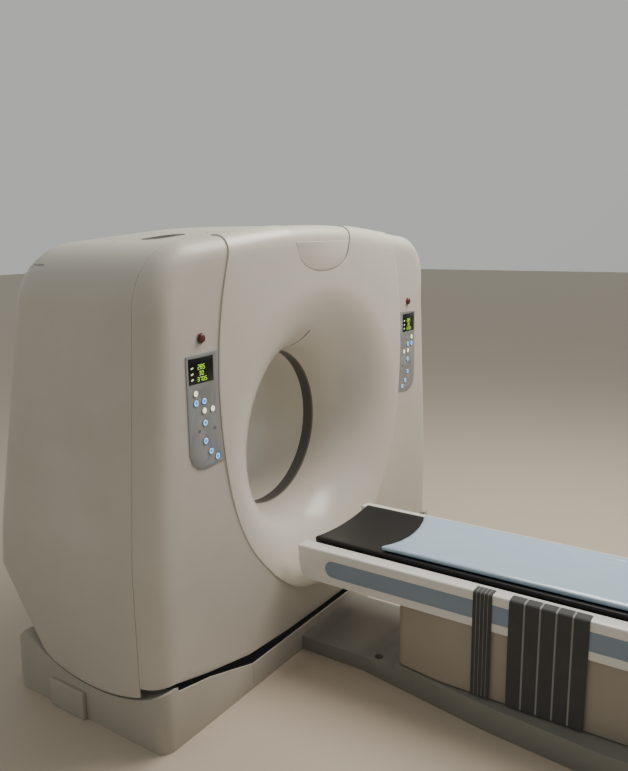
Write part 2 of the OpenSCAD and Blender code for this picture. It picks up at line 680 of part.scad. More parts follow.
module base_frame() color("#6F7478") difference() {
    union() {
        translate([-wall_x + seat_gap, -base_front + base_skin + seat_gap, 0])
            cube([2 * (wall_x - seat_gap),
                base_front + base_back - 2 * (base_skin + seat_gap), plate_h]);
        mirrored() {
            translate([post_x - 10, -300, plate_h - 1]) cube([wall_x - post_x, 700, 51]);
            along_x(post_x, post_x + post_w) polygon([[post_foot[0], plate_h],
                [post_foot[1], plate_h], post_top[1], post_top[0]]);
            disc_x(boss_r, post_x, post_x + post_w, 0, iso_h);
        }
    }
    disc_x(tilt_r + shaft_fit, -far, far, 0, iso_h);
    disc_x(15 + shaft_fit, 0, far, pinion_at.x, pinion_at.y);
    mirrored() for (p = anchor_pts) translate([p.x, p.y, -1]) cylinder(h = far, d = anchor_d);
}
module tilt_motor() color("#3F4A55") {
    disc_x(52, post_x + post_w, post_x + post_w + 68, pinion_at.x, pinion_at.y);
    disc_x(62, post_x + post_w, post_x + post_w + 10, pinion_at.x, pinion_at.y);
}
module tilt_pinion() color("#A7ABB0") {
    translate([gear_x, pinion_at.x, pinion_at.y]) rotate([90, 0, 90]) linear_extrude(gear_w)
        polygon([for (p = teeth(pinion_teeth, pitch_pinion, 180 + post_lean
            + 180 / pinion_teeth, 0, pinion_teeth)) polar(p)]);
    disc_x(15, gear_x, post_x + post_w - seat_gap, pinion_at.x, pinion_at.y);
}

// ---- couch
couch_half = couch_w / 2;
couch_end = couch_y + couch_l;
plinth_y = [base_front + seat_gap, 640, 1200, 1600, couch_end - 60];
plinth_right = [[neck_w / 2, -plinth_y[0]], [neck_w / 2, -plinth_y[1]],
    [0.445 * plinth_w, -plinth_y[2]], [plinth_w / 2, -plinth_y[3]],
    [plinth_w / 2, -plinth_y[4]]];
plinth_plan = concat(flip(plinth_right), plinth_right);
lift_y = [810, 1010, 2330];
lift_w = couch_w - 2 * lift_inset;
nose_w = 500;
function lift_plan(d) = inset([[-nose_w / 2, -lift_y[0]], [-lift_w / 2, -lift_y[1]],
    [-lift_w / 2, -lift_y[2]], [lift_w / 2, -lift_y[2]], [lift_w / 2, -lift_y[1]],
    [nose_w / 2, -lift_y[0]]], d);
module lift_shape(d)
    polygon(rounded(lift_plan(d), [for (r = [40, 200, 40, 40, 200, 40]) r - d], [6, 4, 6, 6, 4, 6]));
module sleeve(d, z0, z1) translate([0, 0, z0]) linear_extrude(z1 - z0) difference() {
    lift_shape(d);
    lift_shape(d + sleeve_t);
}
col_y = -1560;
col_wall = 12;
col_fit = 0.5;
col = [for (k = [0:2]) 300 - 2 * k * (col_wall + col_fit)];
module tube_col(w, z0, z1) difference() {
    translate([-w / 2, col_y - w / 2, z0]) cube([w, w, z1 - z0]);
    translate([-w / 2 + col_wall, col_y - w / 2 + col_wall, z0 - 1])
        cube([w - 2 * col_wall, w - 2 * col_wall, z1 - z0 + 2]);
}
groove_z = 74;
couch_bolts = [[190, -700], [190, -2500]];
step_y = plinth_y[1] + 160;
module couch_plinth() color("#8E9490") difference() {
    union() {
        linear_extrude(neck_h) polygon(plinth_plan);
        intersection() {
            linear_extrude(plinth_h) polygon(plinth_plan);
            translate([-far, -far - step_y, 0]) cube([2 * far, far, plinth_h]);
        }
        tube_col(col[0], plinth_h - 10, keel_h - 40);
    }
    translate([0, 0, groove_z]) linear_extrude(6) difference() {
        polygon(inset(plinth_plan, -5));
        polygon(inset(plinth_plan, 3));
    }
    mirrored() for (p = couch_bolts) translate([p.x, p.y, -1]) {
        cylinder(h = 20, d = anchor_d);
        translate([0, 0, 15]) cylinder(h = far, d = anchor_d * 2);
    }
    translate([-col[1] / 2 - col_fit, col_y - col[1] / 2 - col_fit, 50])
        cube([col[1] + 2 * col_fit, col[1] + 2 * col_fit, far]);
}
stage_gap = 5;
lower_top = keel_h - 20;
module lift_cover_lower() color("#C9C1B0")
    sleeve(2 * (sleeve_gap + sleeve_t), plinth_h, lower_top);
module lift_stage() color("#CFC8B8") {
    sleeve(sleeve_gap + sleeve_t, plinth_h + stage_gap, keel_h - stage_gap);
    tube_col(col[1], 60, keel_h - stage_gap);
    difference() {
        translate([0, 0, lower_top + stage_gap]) linear_extrude(keel_h - 2 * stage_gap - lower_top)
            lift_shape(sleeve_gap + sleeve_t + 1);
        translate([-col[1] / 2 + 1, col_y - col[1] / 2 + 1, 0])
            cube([col[1] - 2, col[1] - 2, far]);
    }
}
module lift_cover_upper() color("#D6CFBF") sleeve(0, plinth_h + stage_gap, keel_h);
nose = [[-couch_y, rim_h], [-couch_y - 4, rim_h - 50], [-couch_y - 18, keel_h + 26],
    [-couch_y - 38, keel_h + 5], [-couch_y - 66, keel_h]];
slot_half = top_w / 2 + top_side_gap;
top_low = rim_h + top_rise - top_t;
rail_h = 24;
trim_z = 436;
trim_h = 68;
trim_t = 5;
trim_y = couch_y + 135;
module trim_line(d) {
    translate([-couch_end + 40, trim_z - trim_h / 2 - d])
        square([couch_end - 40 - trim_y - trim_h / 2, trim_h + 2 * d]);
    translate([-trim_y - trim_h / 2, trim_z]) circle(trim_h / 2 + d);
}
module couch_frame() color("#E8E4DA") {
    difference() {
        along_x(-couch_half, couch_half) polygon(concat(nose, [[-couch_end + 40, keel_h],
            [-couch_end, keel_h + 40], [-couch_end, rim_h]]));
        translate([-slot_half, -couch_end + 20, top_low - rail_h])
            cube([2 * slot_half, couch_l + far, far]);
        translate([-slot_half, -couch_end + 30, keel_h + 8])
            cube([2 * slot_half, couch_l - 110, top_low - rail_h - keel_h - 20]);
        mirrored() along_x(couch_half - trim_t, far) trim_line(seat_gap);
    }
    mirrored() translate([130, -couch_end + 20, top_low - rail_h])
        cube([30, couch_l - 60, rail_h - slide_gap]);
    tube_col(col[2], 90, keel_h + 1);
}
module couch_trim() color("#9FB4C9") mirrored()
    along_x(couch_half - trim_t, couch_half + 1) trim_line(0);
top_end = couch_end - 60;
top_y = couch_y + 43;
top_z = rim_h + top_rise;
dish_half = top_w / 2 - 14;
dish_r = (dish_half * dish_half + top_dish * top_dish) / (2 * top_dish);
// The hollow of the couchtop, or what lies d above it, out to the half width w
function dish(w, d) = [for (k = [-12:12]) let (x = w * k / 12)
    [x, top_z - top_dish + dish_r - sqrt((dish_r - d) * (dish_r - d) - x * x)]];
module couchtop() color("#17181A") along_y(-top_end, -top_y) polygon(concat(
    [[-top_w / 2, top_z], [-top_w / 2 + 5, top_low + 12], [-top_w / 2 + 16, top_low + 3],
    [-top_w / 2 + 34, top_low], [top_w / 2 - 34, top_low], [top_w / 2 - 16, top_low + 3],
    [top_w / 2 - 5, top_low + 12], [top_w / 2, top_z]], backward(dish(dish_half, 0))));
pad_gap = 0.3;
pad_half = top_w / 2 - 16;
module mattress() color("#AECBE8") along_y(-top_end + 40, -top_y - head_l)
    polygon(concat(dish(pad_half, pad_gap), backward(dish(pad_half - 3, mattress_t))));
strap_y = [1128, 1258];
strap_in = 42;
module strap(y, w) {
    translate([-couch_half - 1 - strap_t, -y - w, strap_end_h])
        cube([strap_t, w, rim_h + seat_gap - strap_end_h]);
    translate([-couch_half - 1, -y - w, rim_h + seat_gap]) cube([strap_in, w, strap_t]);
    intersection() {
        translate([-couch_half - 1, -y - w, rim_h + seat_gap]) rotate([-90, 0, 0])
            cylinder(h = w, r = strap_t);
        translate([-couch_half - 1 - strap_t, -y - w, rim_h + seat_gap])
            cube([strap_t, w, strap_t]);
    }
}
module strap_narrow() color("#4C4F54") strap(strap_y[0], strap_w1);
module strap_wide() color("#45484D") strap(strap_y[1], strap_w2);

base_frame();
base_cover_left();
base_cover_right();
base_sills();
anchor_covers();
tilt_motor();
tilt_pinion();
tilt_frame();
front_cover();
bore_funnel();
side_cover_left();
side_cover_right();
top_cover();
rear_cover();
rear_funnel();
scan_window();
emblem_plate();
top_vents();
panel_left();
panel_right();
displays();
laser_windows();
drive_motor();
drive_belt();
motor_pulley();
rotor_drum();
main_bearing();
xray_tube();
hv_generator();
detector_array();
key_left_1();
key_left_2();
key_left_3();
key_left_4();
key_left_5();
key_left_6();
key_left_7();
key_left_8();
key_left_9();
key_right_1();
key_right_2();
key_right_3();
key_right_4();
key_right_5();
key_right_6();
key_right_7();
key_right_8();
key_right_9();
stop_left();
stop_right();
couch_plinth();
lift_cover_lower();
lift_stage();
lift_cover_upper();
couch_frame();
couch_trim();
couchtop();
mattress();
strap_narrow();
strap_wide();
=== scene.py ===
import json
import math

import bmesh
import bpy
import numpy as np
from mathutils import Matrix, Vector


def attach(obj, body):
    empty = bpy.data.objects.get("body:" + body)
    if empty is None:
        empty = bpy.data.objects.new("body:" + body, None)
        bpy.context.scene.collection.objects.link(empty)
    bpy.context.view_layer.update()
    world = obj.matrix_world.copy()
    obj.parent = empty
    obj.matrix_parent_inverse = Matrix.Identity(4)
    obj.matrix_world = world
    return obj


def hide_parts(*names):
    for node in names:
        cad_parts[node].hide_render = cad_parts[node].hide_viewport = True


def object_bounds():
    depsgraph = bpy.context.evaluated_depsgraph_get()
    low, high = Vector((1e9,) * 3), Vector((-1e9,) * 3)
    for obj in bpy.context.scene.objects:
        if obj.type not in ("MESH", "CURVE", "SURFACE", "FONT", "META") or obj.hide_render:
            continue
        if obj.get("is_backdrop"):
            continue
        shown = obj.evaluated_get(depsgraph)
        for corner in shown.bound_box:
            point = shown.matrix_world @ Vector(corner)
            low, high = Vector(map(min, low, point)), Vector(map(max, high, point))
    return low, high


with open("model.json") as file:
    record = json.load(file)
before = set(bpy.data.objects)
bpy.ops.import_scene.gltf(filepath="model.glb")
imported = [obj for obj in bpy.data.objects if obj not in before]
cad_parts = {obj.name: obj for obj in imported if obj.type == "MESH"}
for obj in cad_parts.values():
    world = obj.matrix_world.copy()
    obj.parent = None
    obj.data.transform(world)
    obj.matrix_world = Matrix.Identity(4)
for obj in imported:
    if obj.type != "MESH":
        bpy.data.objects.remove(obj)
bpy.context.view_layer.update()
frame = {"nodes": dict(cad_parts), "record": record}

# Room and camera
# A plain pale floor, one large ceiling softbox over the couch, a weaker one from the side, and the
# camera at eye height off the couch's near corner. None of it belongs to the scanner.
camera_data = bpy.data.cameras.new("camera")
camera_data.sensor_width, camera_data.lens = 36.0, 34.97
camera = bpy.data.objects.new("camera", camera_data)
camera.location = (-2.6090, -2.0278, 1.7435)
camera.rotation_euler = [math.radians(a) for a in (78.484, 0.777, -56.233)]
bpy.context.scene.collection.objects.link(camera)
bpy.context.scene.camera = camera


def linear(code):
    """sRGB hex to a linear colour with alpha."""
    rgb = [int(code[i:i + 2], 16) / 255 for i in (1, 3, 5)]
    return [c / 12.92 if c <= 0.04045 else ((c + 0.055) / 1.055) ** 2.4 for c in rgb] + [1.0]


def settle(tree, node, **given):
    """Names with capitals set or link the node's inputs, and the others are its own settings."""
    for name, value in given.items():
        if name[0].isupper():
            socket = next(s for s in node.inputs if s.name.replace(" ", "_") == name and s.enabled)
            if isinstance(value, bpy.types.NodeSocket):
                tree.links.new(value, socket)
            else:
                socket.default_value = value
        else:
            setattr(node, name, value)
    return node


def add(tree, kind, **given):
    """Adds a node with its settings and links."""
    return settle(tree, tree.nodes.new(kind), **given)


floor_finish = bpy.data.materials.new("pale matt floor")
floor_finish.use_nodes = True
settle(floor_finish.node_tree, floor_finish.node_tree.nodes["Principled BSDF"],
       Base_Color=linear("#BFB1A0"), Roughness=0.55)
bpy.ops.mesh.primitive_plane_add(size=60, location=(0, 0, -0.0005))
floor = bpy.context.object
floor.name = "floor"
floor.data.materials.append(floor_finish)
floor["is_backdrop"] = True

world = bpy.data.worlds.new("pale room")
bpy.context.scene.world = world
world.use_nodes = True
# Window light comes from behind on the right, and the side of the room by the camera is dim
sky = world.node_tree
facing = add(sky, "ShaderNodeVectorMath", operation="DOT_PRODUCT",
             Vector=add(sky, "ShaderNodeTexCoord").outputs["Generated"])
facing.inputs[1].default_value = (0.55, 0.62, 0.56)
share = add(sky, "ShaderNodeMapRange", Value=facing.outputs["Value"], From_Min=-0.8, From_Max=0.7)
room = add(sky, "ShaderNodeMix", data_type="RGBA", Factor=share.outputs["Result"],
           A=linear("#8F8E88"), B=linear("#D9DCD6"))
settle(sky, sky.nodes["Background"], Color=room.outputs[2], Strength=0.7)


def softbox(name, place, aim, size, watts, tint):
    data = bpy.data.lights.new(name, "AREA")
    data.shape, data.size, data.energy = "SQUARE", size, watts
    data.color = linear(tint)[:3]
    lamp = bpy.data.objects.new(name, data)
    lamp.location = place
    lamp.rotation_euler = (Vector(aim) - Vector(place)).to_track_quat("-Z", "Y").to_euler()
    bpy.context.scene.collection.objects.link(lamp)


softbox("ceiling light", (1.5, -1.3, 3.9), (0.2, -0.9, 0.4), 2.2, 165, "#FFF9F0")
softbox("side fill", (-4.0, -3.0, 2.6), (0, 0, 0.8), 2.5, 8, "#FFF8EE")

# Gantry covers
# The covers together make one swollen form in warm white polyurethane moulding: a flat front, a
# crowned top, leaning sides and a rear face that leans forward. Each cover is cut out of this form.
iso = 0.89
half_w = 1.046
front_face = -0.33
seam_y = -0.245
seam = 0.002
top_half = 0.44
rear_half, rear_top = 0.92, 1.646
wall, cover_edge = 0.006, 0.0022
belly_z, crown_z = 0.7, 1.796
side_r, shoulder_r, crown_r = 3.0, 0.23, 4.5
# Roundings of the form: its front edge low down, how much less at the crown, and its rear edge
front_r, less_r, back_r = 0.095, 0.030, 0.115
side_lean, crown_slope = math.radians(4.7), math.radians(5.5)
# The rear face and the chin below it, given by their outward normals in Y and Z, meet at rear_foot
rear_foot, rear_r, rear_lean, chin_lean = (0.565, 0.49), 0.07, math.radians(8), math.radians(35)
rear_faces = ((math.cos(rear_lean), math.sin(rear_lean)), (math.cos(chin_lean), -math.sin(chin_lean)))
core = np.array([0.0, 0.115, iso])


def corner(u, v, point, n, m, r):
    """Distance to the rounded corner of two faces with outward normals n and m, in one plane."""
    n, m = np.array(n) / np.hypot(*n), np.array(m) / np.hypot(*m)
    flat = np.maximum((u - point[0]) * n[0] + (v - point[1]) * n[1],
                      (u - point[0]) * m[0] + (v - point[1]) * m[1])
    centre = np.array(point) - r * (n + m) / (1 + n @ m)
    du, dv = u - centre[0], v - centre[1]
    turn = 1 if n[0] * m[1] - n[1] * m[0] > 0 else -1
    inside = (turn * (n[0] * dv - n[1] * du) >= 0) & (turn * (du * m[1] - dv * m[0]) >= 0)
    return np.where(inside, np.hypot(du, dv) - r, flat)


def fillet(a, b, r):
    return np.minimum(-r, np.maximum(a, b)) + np.hypot(np.maximum(a + r, 0), np.maximum(b + r, 0))


leaning = (math.cos(side_lean), math.sin(side_lean))
crowning = (math.sin(crown_slope), math.cos(crown_slope))
shoulder_x = half_w - (crown_z - belly_z) * math.tan(side_lean) * 0.95


def form(x, y, z, rise=0.0):
    """Distance of points to the covers' outer form, raised by rise; it is negative inside."""
    x = np.abs(x)
    outline = np.maximum.reduce([
        corner(x, z, (half_w, belly_z), (1, 0), leaning, side_r),
        corner(x, z, (shoulder_x, crown_z - shoulder_x * math.tan(crown_slope)), leaning, crowning,
               shoulder_r),
        corner(x, z, (0, crown_z), crowning, (-crowning[0], crowning[1]), crown_r)])
    high = np.clip((z - 1.40) / 0.30, 0, 1)
    front = front_face - y
    rear = corner(y, z, rear_foot, *rear_faces, rear_r)
    return np.maximum.reduce([fillet(outline, front, front_r - less_r * high) - rise,
                              fillet(outline, rear, back_r) - rise, -z])


def cast(rise, steps=120):
    """The form as a fine net of quads: rays from its middle are followed to the surface."""
    s = np.tan(np.linspace(-1, 1, steps + 1) * math.pi / 4)
    a, b = np.meshgrid(s, s, indexing="ij")
    one = np.ones_like(a)
    sides = [(-b, -one, a), (b, one, a), (one, -b, a), (-one, b, a), (b, -a, one), (b, a, -one)]
    points, quads = [], []
    for rays in sides:
        d = np.stack(rays, -1).reshape(-1, 3)
        d = d / np.linalg.norm(d, axis=1)[:, None]
        near, far = np.zeros(len(d)), np.full(len(d), 3.0)
        for _ in range(34):
            half = (near + far) / 2
            p = core + d * half[:, None]
            out = form(p[:, 0], p[:, 1], p[:, 2], rise) > 0
            near, far = np.where(out, near, half), np.where(out, half, far)
        k = len(points) * (steps + 1) ** 2
        points.append(core + d * near[:, None])
        i, j = np.meshgrid(np.arange(steps), np.arange(steps), indexing="ij")
        c = (k + i * (steps + 1) + j).ravel()
        quads.append(np.stack([c, c + 1, c + steps + 2, c + steps + 1], 1))
    return np.concatenate(points), np.concatenate(quads)


def outward(net):
    bmesh.ops.recalc_face_normals(net, faces=net.faces)


def net_of(points, quads, wanted):
    """A bmesh of the quads whose middles pass the test wanted(x, y, z)."""
    mid = points[quads].mean(1)
    keep = quads[wanted(mid[:, 0], mid[:, 1], mid[:, 2])]
    used = np.unique(keep)
    net = bmesh.new()
    verts = [net.verts.new(points[i]) for i in used]
    place = {k: n for n, k in enumerate(used)}
    for q in keep:
        net.faces.new([verts[place[k]] for k in q])
    bmesh.ops.remove_doubles(net, verts=net.verts, dist=1e-5)
    outward(net)
    if sum(f.normal.dot(f.calc_center_median() - Vector(core)) for f in net.faces) < 0:
        bmesh.ops.reverse_faces(net, faces=net.faces)
    return net


def whole(faces):
    """The faces with their corners and edges, each once."""
    return list(dict.fromkeys(g for f in faces for g in (*f.verts, *f.edges, f)))


def slice_net(net, point, normal, near=None):
    """Cuts the net with a plane, near some place only if near(centre) says so."""
    faces = [f for f in net.faces if near is None or near(f.calc_center_median())]
    bmesh.ops.bisect_plane(net, geom=whole(faces), dist=1e-6, plane_co=point, plane_no=normal)


def drop(net, unwanted):
    gone = [f for f in net.faces if unwanted(f.calc_center_median())]
    bmesh.ops.delete(net, geom=gone, context="FACES")


def slice_along(net, outline, axes, reach=0.03, side=None):
    """Cuts the net along an open or closed outline drawn in two of the axes."""
    i, j = axes
    through = Vector([0.0 if k in axes else 1.0 for k in range(3)])
    line = np.array(outline)
    faces = list(net.faces)
    mid = np.array([f.calc_center_median() for f in faces])
    gap = np.full(len(faces), 9.0)
    for a, b in zip(line, line[1:]):
        run = b - a
        t = np.clip(((mid[:, i] - a[0]) * run[0] + (mid[:, j] - a[1]) * run[1])
                    / max(run @ run, 1e-12), 0, 1)
        gap = np.minimum(gap, np.hypot(mid[:, i] - a[0] - t * run[0], mid[:, j] - a[1] - t * run[1]))
    pool = dict.fromkeys(f for f, d in zip(faces, gap)
                         if d < reach and (side is None or side(f.calc_center_median())))
    for a, b in zip(outline, outline[1:]):
        p, q = Vector((0, 0, 0)), Vector((0, 0, 0))
        p[i], p[j], q[i], q[j] = a[0], a[1], b[0], b[1]
        run = q - p
        if run.length < 1e-6:
            continue
        flat = run.normalized()
        near = []
        for f in pool:
            c = f.calc_center_median()
            d = Vector([c[k] if k in axes else 0.0 for k in range(3)]) - p
            t = d.dot(flat)
            if -reach < t < run.length + reach and (d - flat * t).length < reach:
                near.append(f)
        if not near:
            continue
        cut = bmesh.ops.bisect_plane(net, geom=whole(near), dist=1e-6, plane_co=p,
                                     plane_no=run.cross(through).normalized())
        pool.update(dict.fromkeys(g for g in cut["geom"] if isinstance(g, bmesh.types.BMFace)))


def inside(outline, u, v):
    """True if the point lies in the closed outline."""
    hit = False
    for (a, b), (c, d) in zip(outline, outline[1:] + outline[:1]):
        if (b > v) != (d > v) and u < (c - a) * (v - b) / (d - b) + a:
            hit = not hit
    return hit


def applied(obj):
    """Makes the modifiers of a linked piece part of its mesh."""
    bpy.context.view_layer.update()
    mesh = bpy.data.meshes.new_from_object(obj.evaluated_get(
        bpy.context.evaluated_depsgraph_get()))
    obj.modifiers.clear()
    obj.data = mesh


def finish_piece(obj, finish, body, slot, *nodes, smooth=True, angle=0.6):
    """Gives a piece its finish and body. Modifiers are applied, so that its place is in its mesh."""
    if obj.name not in bpy.context.scene.collection.objects:
        bpy.context.scene.collection.objects.link(obj)
    if obj.modifiers:
        applied(obj)
    for f in obj.data.polygons:
        f.use_smooth = smooth
    if smooth:
        obj.data.set_sharp_from_angle(angle=angle)
    for one in finish if isinstance(finish, (list, tuple)) else [finish]:
        if one.name not in obj.data.materials:
            obj.data.materials.append(one)
    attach(obj, body)
    if nodes:
        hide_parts(*nodes)


def piece_of(net, name):
    bmesh.ops.remove_doubles(net, verts=net.verts, dist=2e-5)
    bmesh.ops.dissolve_degenerate(net, edges=net.edges, dist=2e-5)
    mesh = bpy.data.meshes.new(name)
    net.to_mesh(mesh)
    net.free()
    return bpy.data.objects.new(name, mesh)


def eased(obj, width, segments=3, above=50):
    """Rounds a piece's edges that turn by more than so many degrees."""
    ease = obj.modifiers.new("eased edges", "BEVEL")
    ease.width, ease.segments, ease.limit_method = width, segments, "ANGLE"
    ease.angle_limit = math.radians(above)
    return obj


def walled(obj, thickness, edge, segments=2):
    """Gives a cut-out skin its wall, inward, and eased edges."""
    solid = obj.modifiers.new("wall", "SOLIDIFY")
    solid.thickness, solid.offset = thickness, -1
    return eased(obj, edge, segments)


def blank_finish(name):
    """A new material, its tree, its shader, and the place of each point on its piece."""
    finish = bpy.data.materials.new(name)
    finish.use_nodes = True
    t = finish.node_tree
    return finish, t, t.nodes["Principled BSDF"], add(t, "ShaderNodeTexCoord").outputs["Object"]


# Painted polyurethane moulding: satin, faintly uneven in colour, with the fine dimple of sprayed
# lacquer (about 2 mm, drawn at 4 mm so that it shows) and a little grey dust towards the floor.
def painted_moulding(name, colour, shade, roughness):
    finish, t, shader, spot = blank_finish(name)
    cloud = add(t, "ShaderNodeTexNoise", Vector=spot, Scale=2.2, Detail=4.0, Roughness=0.6)
    level = add(t, "ShaderNodeMapRange", Value=cloud.outputs["Fac"], From_Min=0.35, From_Max=0.7)
    tone = add(t, "ShaderNodeMix", data_type="RGBA", Factor=level.outputs["Result"],
               A=linear(colour), B=linear(shade))
    height = add(t, "ShaderNodeSeparateXYZ", Vector=spot)
    low = add(t, "ShaderNodeMapRange", Value=height.outputs["Z"], From_Min=0.75, From_Max=0.05,
              To_Max=0.35)
    dust = add(t, "ShaderNodeMix", data_type="RGBA", Factor=low.outputs["Result"],
               A=tone.outputs[2], B=linear("#A79F93"))
    dimple = add(t, "ShaderNodeTexNoise", Vector=spot, Scale=250.0, Detail=2.0)
    bump = add(t, "ShaderNodeBump", Height=dimple.outputs["Fac"], Strength=0.05, Distance=0.0006)
    matt = add(t, "ShaderNodeMapRange", Value=cloud.outputs["Fac"], To_Min=roughness - 0.05,
               To_Max=roughness + 0.06)
    settle(t, shader, Base_Color=dust.outputs[2], Normal=bump.outputs["Normal"],
           Roughness=matt.outputs["Result"], IOR=1.48, Coat_Weight=0.12, Coat_Roughness=0.25)
    return finish


shell_finish = painted_moulding("satin white lacquered moulding", "#D8D2C8", "#D0CABF", 0.44)
shell_net = cast(0.0)


def cover(net, name, node):
    """Finishes one of the gantry's covers."""
    finish_piece(walled(piece_of(net, name), wall, cover_edge), shell_finish, "gantry", "shell",
                 node)


def at_seam(c):
    return abs(c.y - seam_y) < 0.04


def cut_out(net, outline, reach=0.03, keep=False, side=None):
    """Cuts along a closed outline in X and Z, and drops what is in it, or all else with keep."""
    slice_along(net, outline, (0, 2), reach, side)
    drop(net, lambda c: inside(outline, c.x, c.z) != keep)


# The funnel panel's edge, half of it, in X and Z, from the foot of the funnel up over the crown
lobe = [(0.0, 0.232), (0.0745, 0.240), (0.149, 0.254), (0.220, 0.281), (0.285, 0.318),
        (0.360, 0.378), (0.4305, 0.450), (0.487, 0.515), (0.5356, 0.584), (0.590, 0.693),
        (0.628, 0.808), (0.652, 0.920), (0.668, 1.035), (0.676, 1.140), (0.678, 1.240),
        (0.673, 1.335), (0.662, 1.430), (0.642, 1.540), (0.614, 1.640), (0.600, 1.690),
        (0.587, 1.760), (0.575, 1.840)]


def spline(points, n=4):
    """A smooth curve through the points."""
    out = []
    for k in range(len(points) - 1):
        p = [np.array(points[min(max(k + d, 0), len(points) - 1)]) for d in (-1, 0, 1, 2)]
        for s in range(n):
            t = s / n
            out.append(tuple(0.5 * (2 * p[1] + (p[2] - p[0]) * t
                       + (2 * p[0] - 5 * p[1] + 4 * p[2] - p[3]) * t * t
                       + (3 * p[1] - 3 * p[2] + p[3] - p[0]) * t ** 3)))
    return out + [tuple(points[-1])]


lobe = spline(lobe, 2)
tongue = spline([(0.0, 1.590), (0.055, 1.594), (0.105, 1.603), (0.150, 1.624), (0.180, 1.655),
                 (0.197, 1.700), (0.216, 1.748), (0.245, 1.84)], 4)


def both(half):
    return [(-u, v) for u, v in half[:0:-1]] + list(half)


def grown(outline, d, about=(0.0, iso)):
    """The outline moved outward by d along rays from about."""
    c = np.array(about)
    return [tuple(c + (np.array(p) - c) * (1 + d / np.hypot(*(np.array(p) - c)))) for p in outline]


def facing_front(c):
    return c.y < 0


# The front cover: everything ahead of the seam, apart from the funnel's panel.
hem = both([(0, 0.120), (0.3, 0.124), (0.56, 0.14), (0.8, 0.19), (0.96, 0.232), (1.2, 0.232)])
below = hem + [(1.2, -1.0), (-1.2, -1.0)]
stop_at, stop_r = (0.760, 1.404), 0.0153
net = net_of(*shell_net, lambda x, y, z: y < seam_y + 0.03)
slice_net(net, (0, seam_y, 0), (0, 1, 0), at_seam)
drop(net, lambda c: c.y > seam_y)
slice_along(net, hem, (0, 2), 0.03)
drop(net, lambda c: inside(below, c.x, c.z))
opening = both(grown(lobe, -0.012))
cut_out(net, opening, side=facing_front)
for s in (-1, 1):
    ring = [(s * stop_at[0] + stop_r * math.cos(a), stop_at[1] + stop_r * math.sin(a))
            for a in np.linspace(0, 2 * math.pi, 25)]
    slice_along(net, ring, (0, 2), 0.03, facing_front)
    drop(net, lambda c: c.y < -0.3 and inside(ring, c.x, c.z))
cover(net, "front_cover_skin", "front_cover")

# The side covers: from the seam to the rear edge, with an arched hem that clears the cradle.
hem_arc = [(0.735 * math.sin(a), iso - 0.735 * math.cos(a))
           for a in np.linspace(math.radians(-40), math.radians(60), 41)]
under = hem_arc + [(hem_arc[-1][0], -1.0), (hem_arc[0][0], -1.0)]
vent_x, vent_y, vent_half, vent_r = 0.610, -0.035, 0.048, 0.0462
vent_edge = [(math.copysign(vent_half, math.cos(a)) + vent_r * math.cos(a), vent_r * math.sin(a))
             for a in np.linspace(0.01, 2 * math.pi + 0.01, 41)]
for side, sign in (("left", -1), ("right", 1)):
    net = net_of(*shell_net, lambda x, y, z: (y > seam_y - 0.03) & (x * sign > top_half - 0.03))
    slice_net(net, (0, seam_y + seam, 0), (0, 1, 0), at_seam)
    drop(net, lambda c: c.y < seam_y + seam)
    slice_net(net, (sign * top_half, 0, 0), (1, 0, 0), lambda c: abs(c.x * sign - top_half) < 0.05)
    drop(net, lambda c: c.x * sign < top_half)
    rear_edge = [(rear_half + seam, -1.0), (rear_half + seam, rear_top + seam),
                 (0.0, rear_top + seam)]
    slice_along(net, [(sign * u, v) for u, v in rear_edge], (0, 2), 0.04, lambda c: c.y > 0.25)
    drop(net, lambda c: c.y > 0.25 and c.x * sign < rear_half + seam and c.z < rear_top + seam)
    slice_along(net, hem_arc, (1, 2), 0.03)
    drop(net, lambda c: inside(under, c.y, c.z))
    slot_path = [(sign * vent_x + u, vent_y + v) for u, v in vent_edge]
    slice_along(net, slot_path, (0, 1), 0.03, lambda c: c.z > 1.5)
    drop(net, lambda c: c.z > 1.5 and inside(slot_path, c.x, c.y))
    cover(net, "side_cover_skin_" + side, "side_cover_" + side)

# The top cover: the middle of the crown, which lifts off for service. Its tongue runs down over the
# brow between the two horns of the funnel panel.
net = net_of(*shell_net, lambda x, y, z: (abs(x) < top_half + 0.03) & (z > 1.45)
             & ((y > seam_y - 0.03) | (abs(x) < 0.27)))
slice_net(net, (0, seam_y + seam, 0), (0, 1, 0), at_seam)
tongue_edge = both(tongue)
slice_along(net, tongue_edge, (0, 2), 0.025, lambda c: c.y < seam_y + seam)
drop(net, lambda c: c.y < seam_y + seam and not inside(tongue_edge, c.x, c.z))
for s in (-1, 1):
    slice_net(net, (s * (top_half - seam), 0, 0), (1, 0, 0),
              lambda c: abs(abs(c.x) - top_half) < 0.05)
drop(net, lambda c: abs(c.x) > top_half - seam)
slice_net(net, (0, 0, rear_top + seam), (0, 0, 1), lambda c: c.y > 0.25)
drop(net, lambda c: c.y > 0.25 and c.z < rear_top + seam)
cover(net, "top_cover_skin", "top_cover")

# Rear cover and rear funnel
# One large leaning panel with the rear mouth of the bore let into it. The mouth is a short cylinder
# behind the scan window, then a cone, in the same glossy cream lacquer as the front funnel.
bore_r, window_half = 0.350, 0.029
flare_y, flare = 0.25, math.tan(math.radians(20))
rim_set_back = 0.004
funnel_finish = painted_moulding("gloss cream lacquered funnel", "#E2DCD1", "#DBD5C9", 0.30)


def rear_rim(a, extra=0.0):
    """Where the cone, thicker by extra, comes out of the rear face, at angle a about the bore."""
    s = math.sin(a)
    r0 = bore_r + extra - flare_y * flare
    y = min((rear_foot[0] * n - (iso - rear_foot[1] + r0 * s) * m) / (n + flare * s * m)
            for n, m in rear_faces) - rim_set_back
    r = r0 + y * flare
    return r * math.cos(a), y, iso + r * s


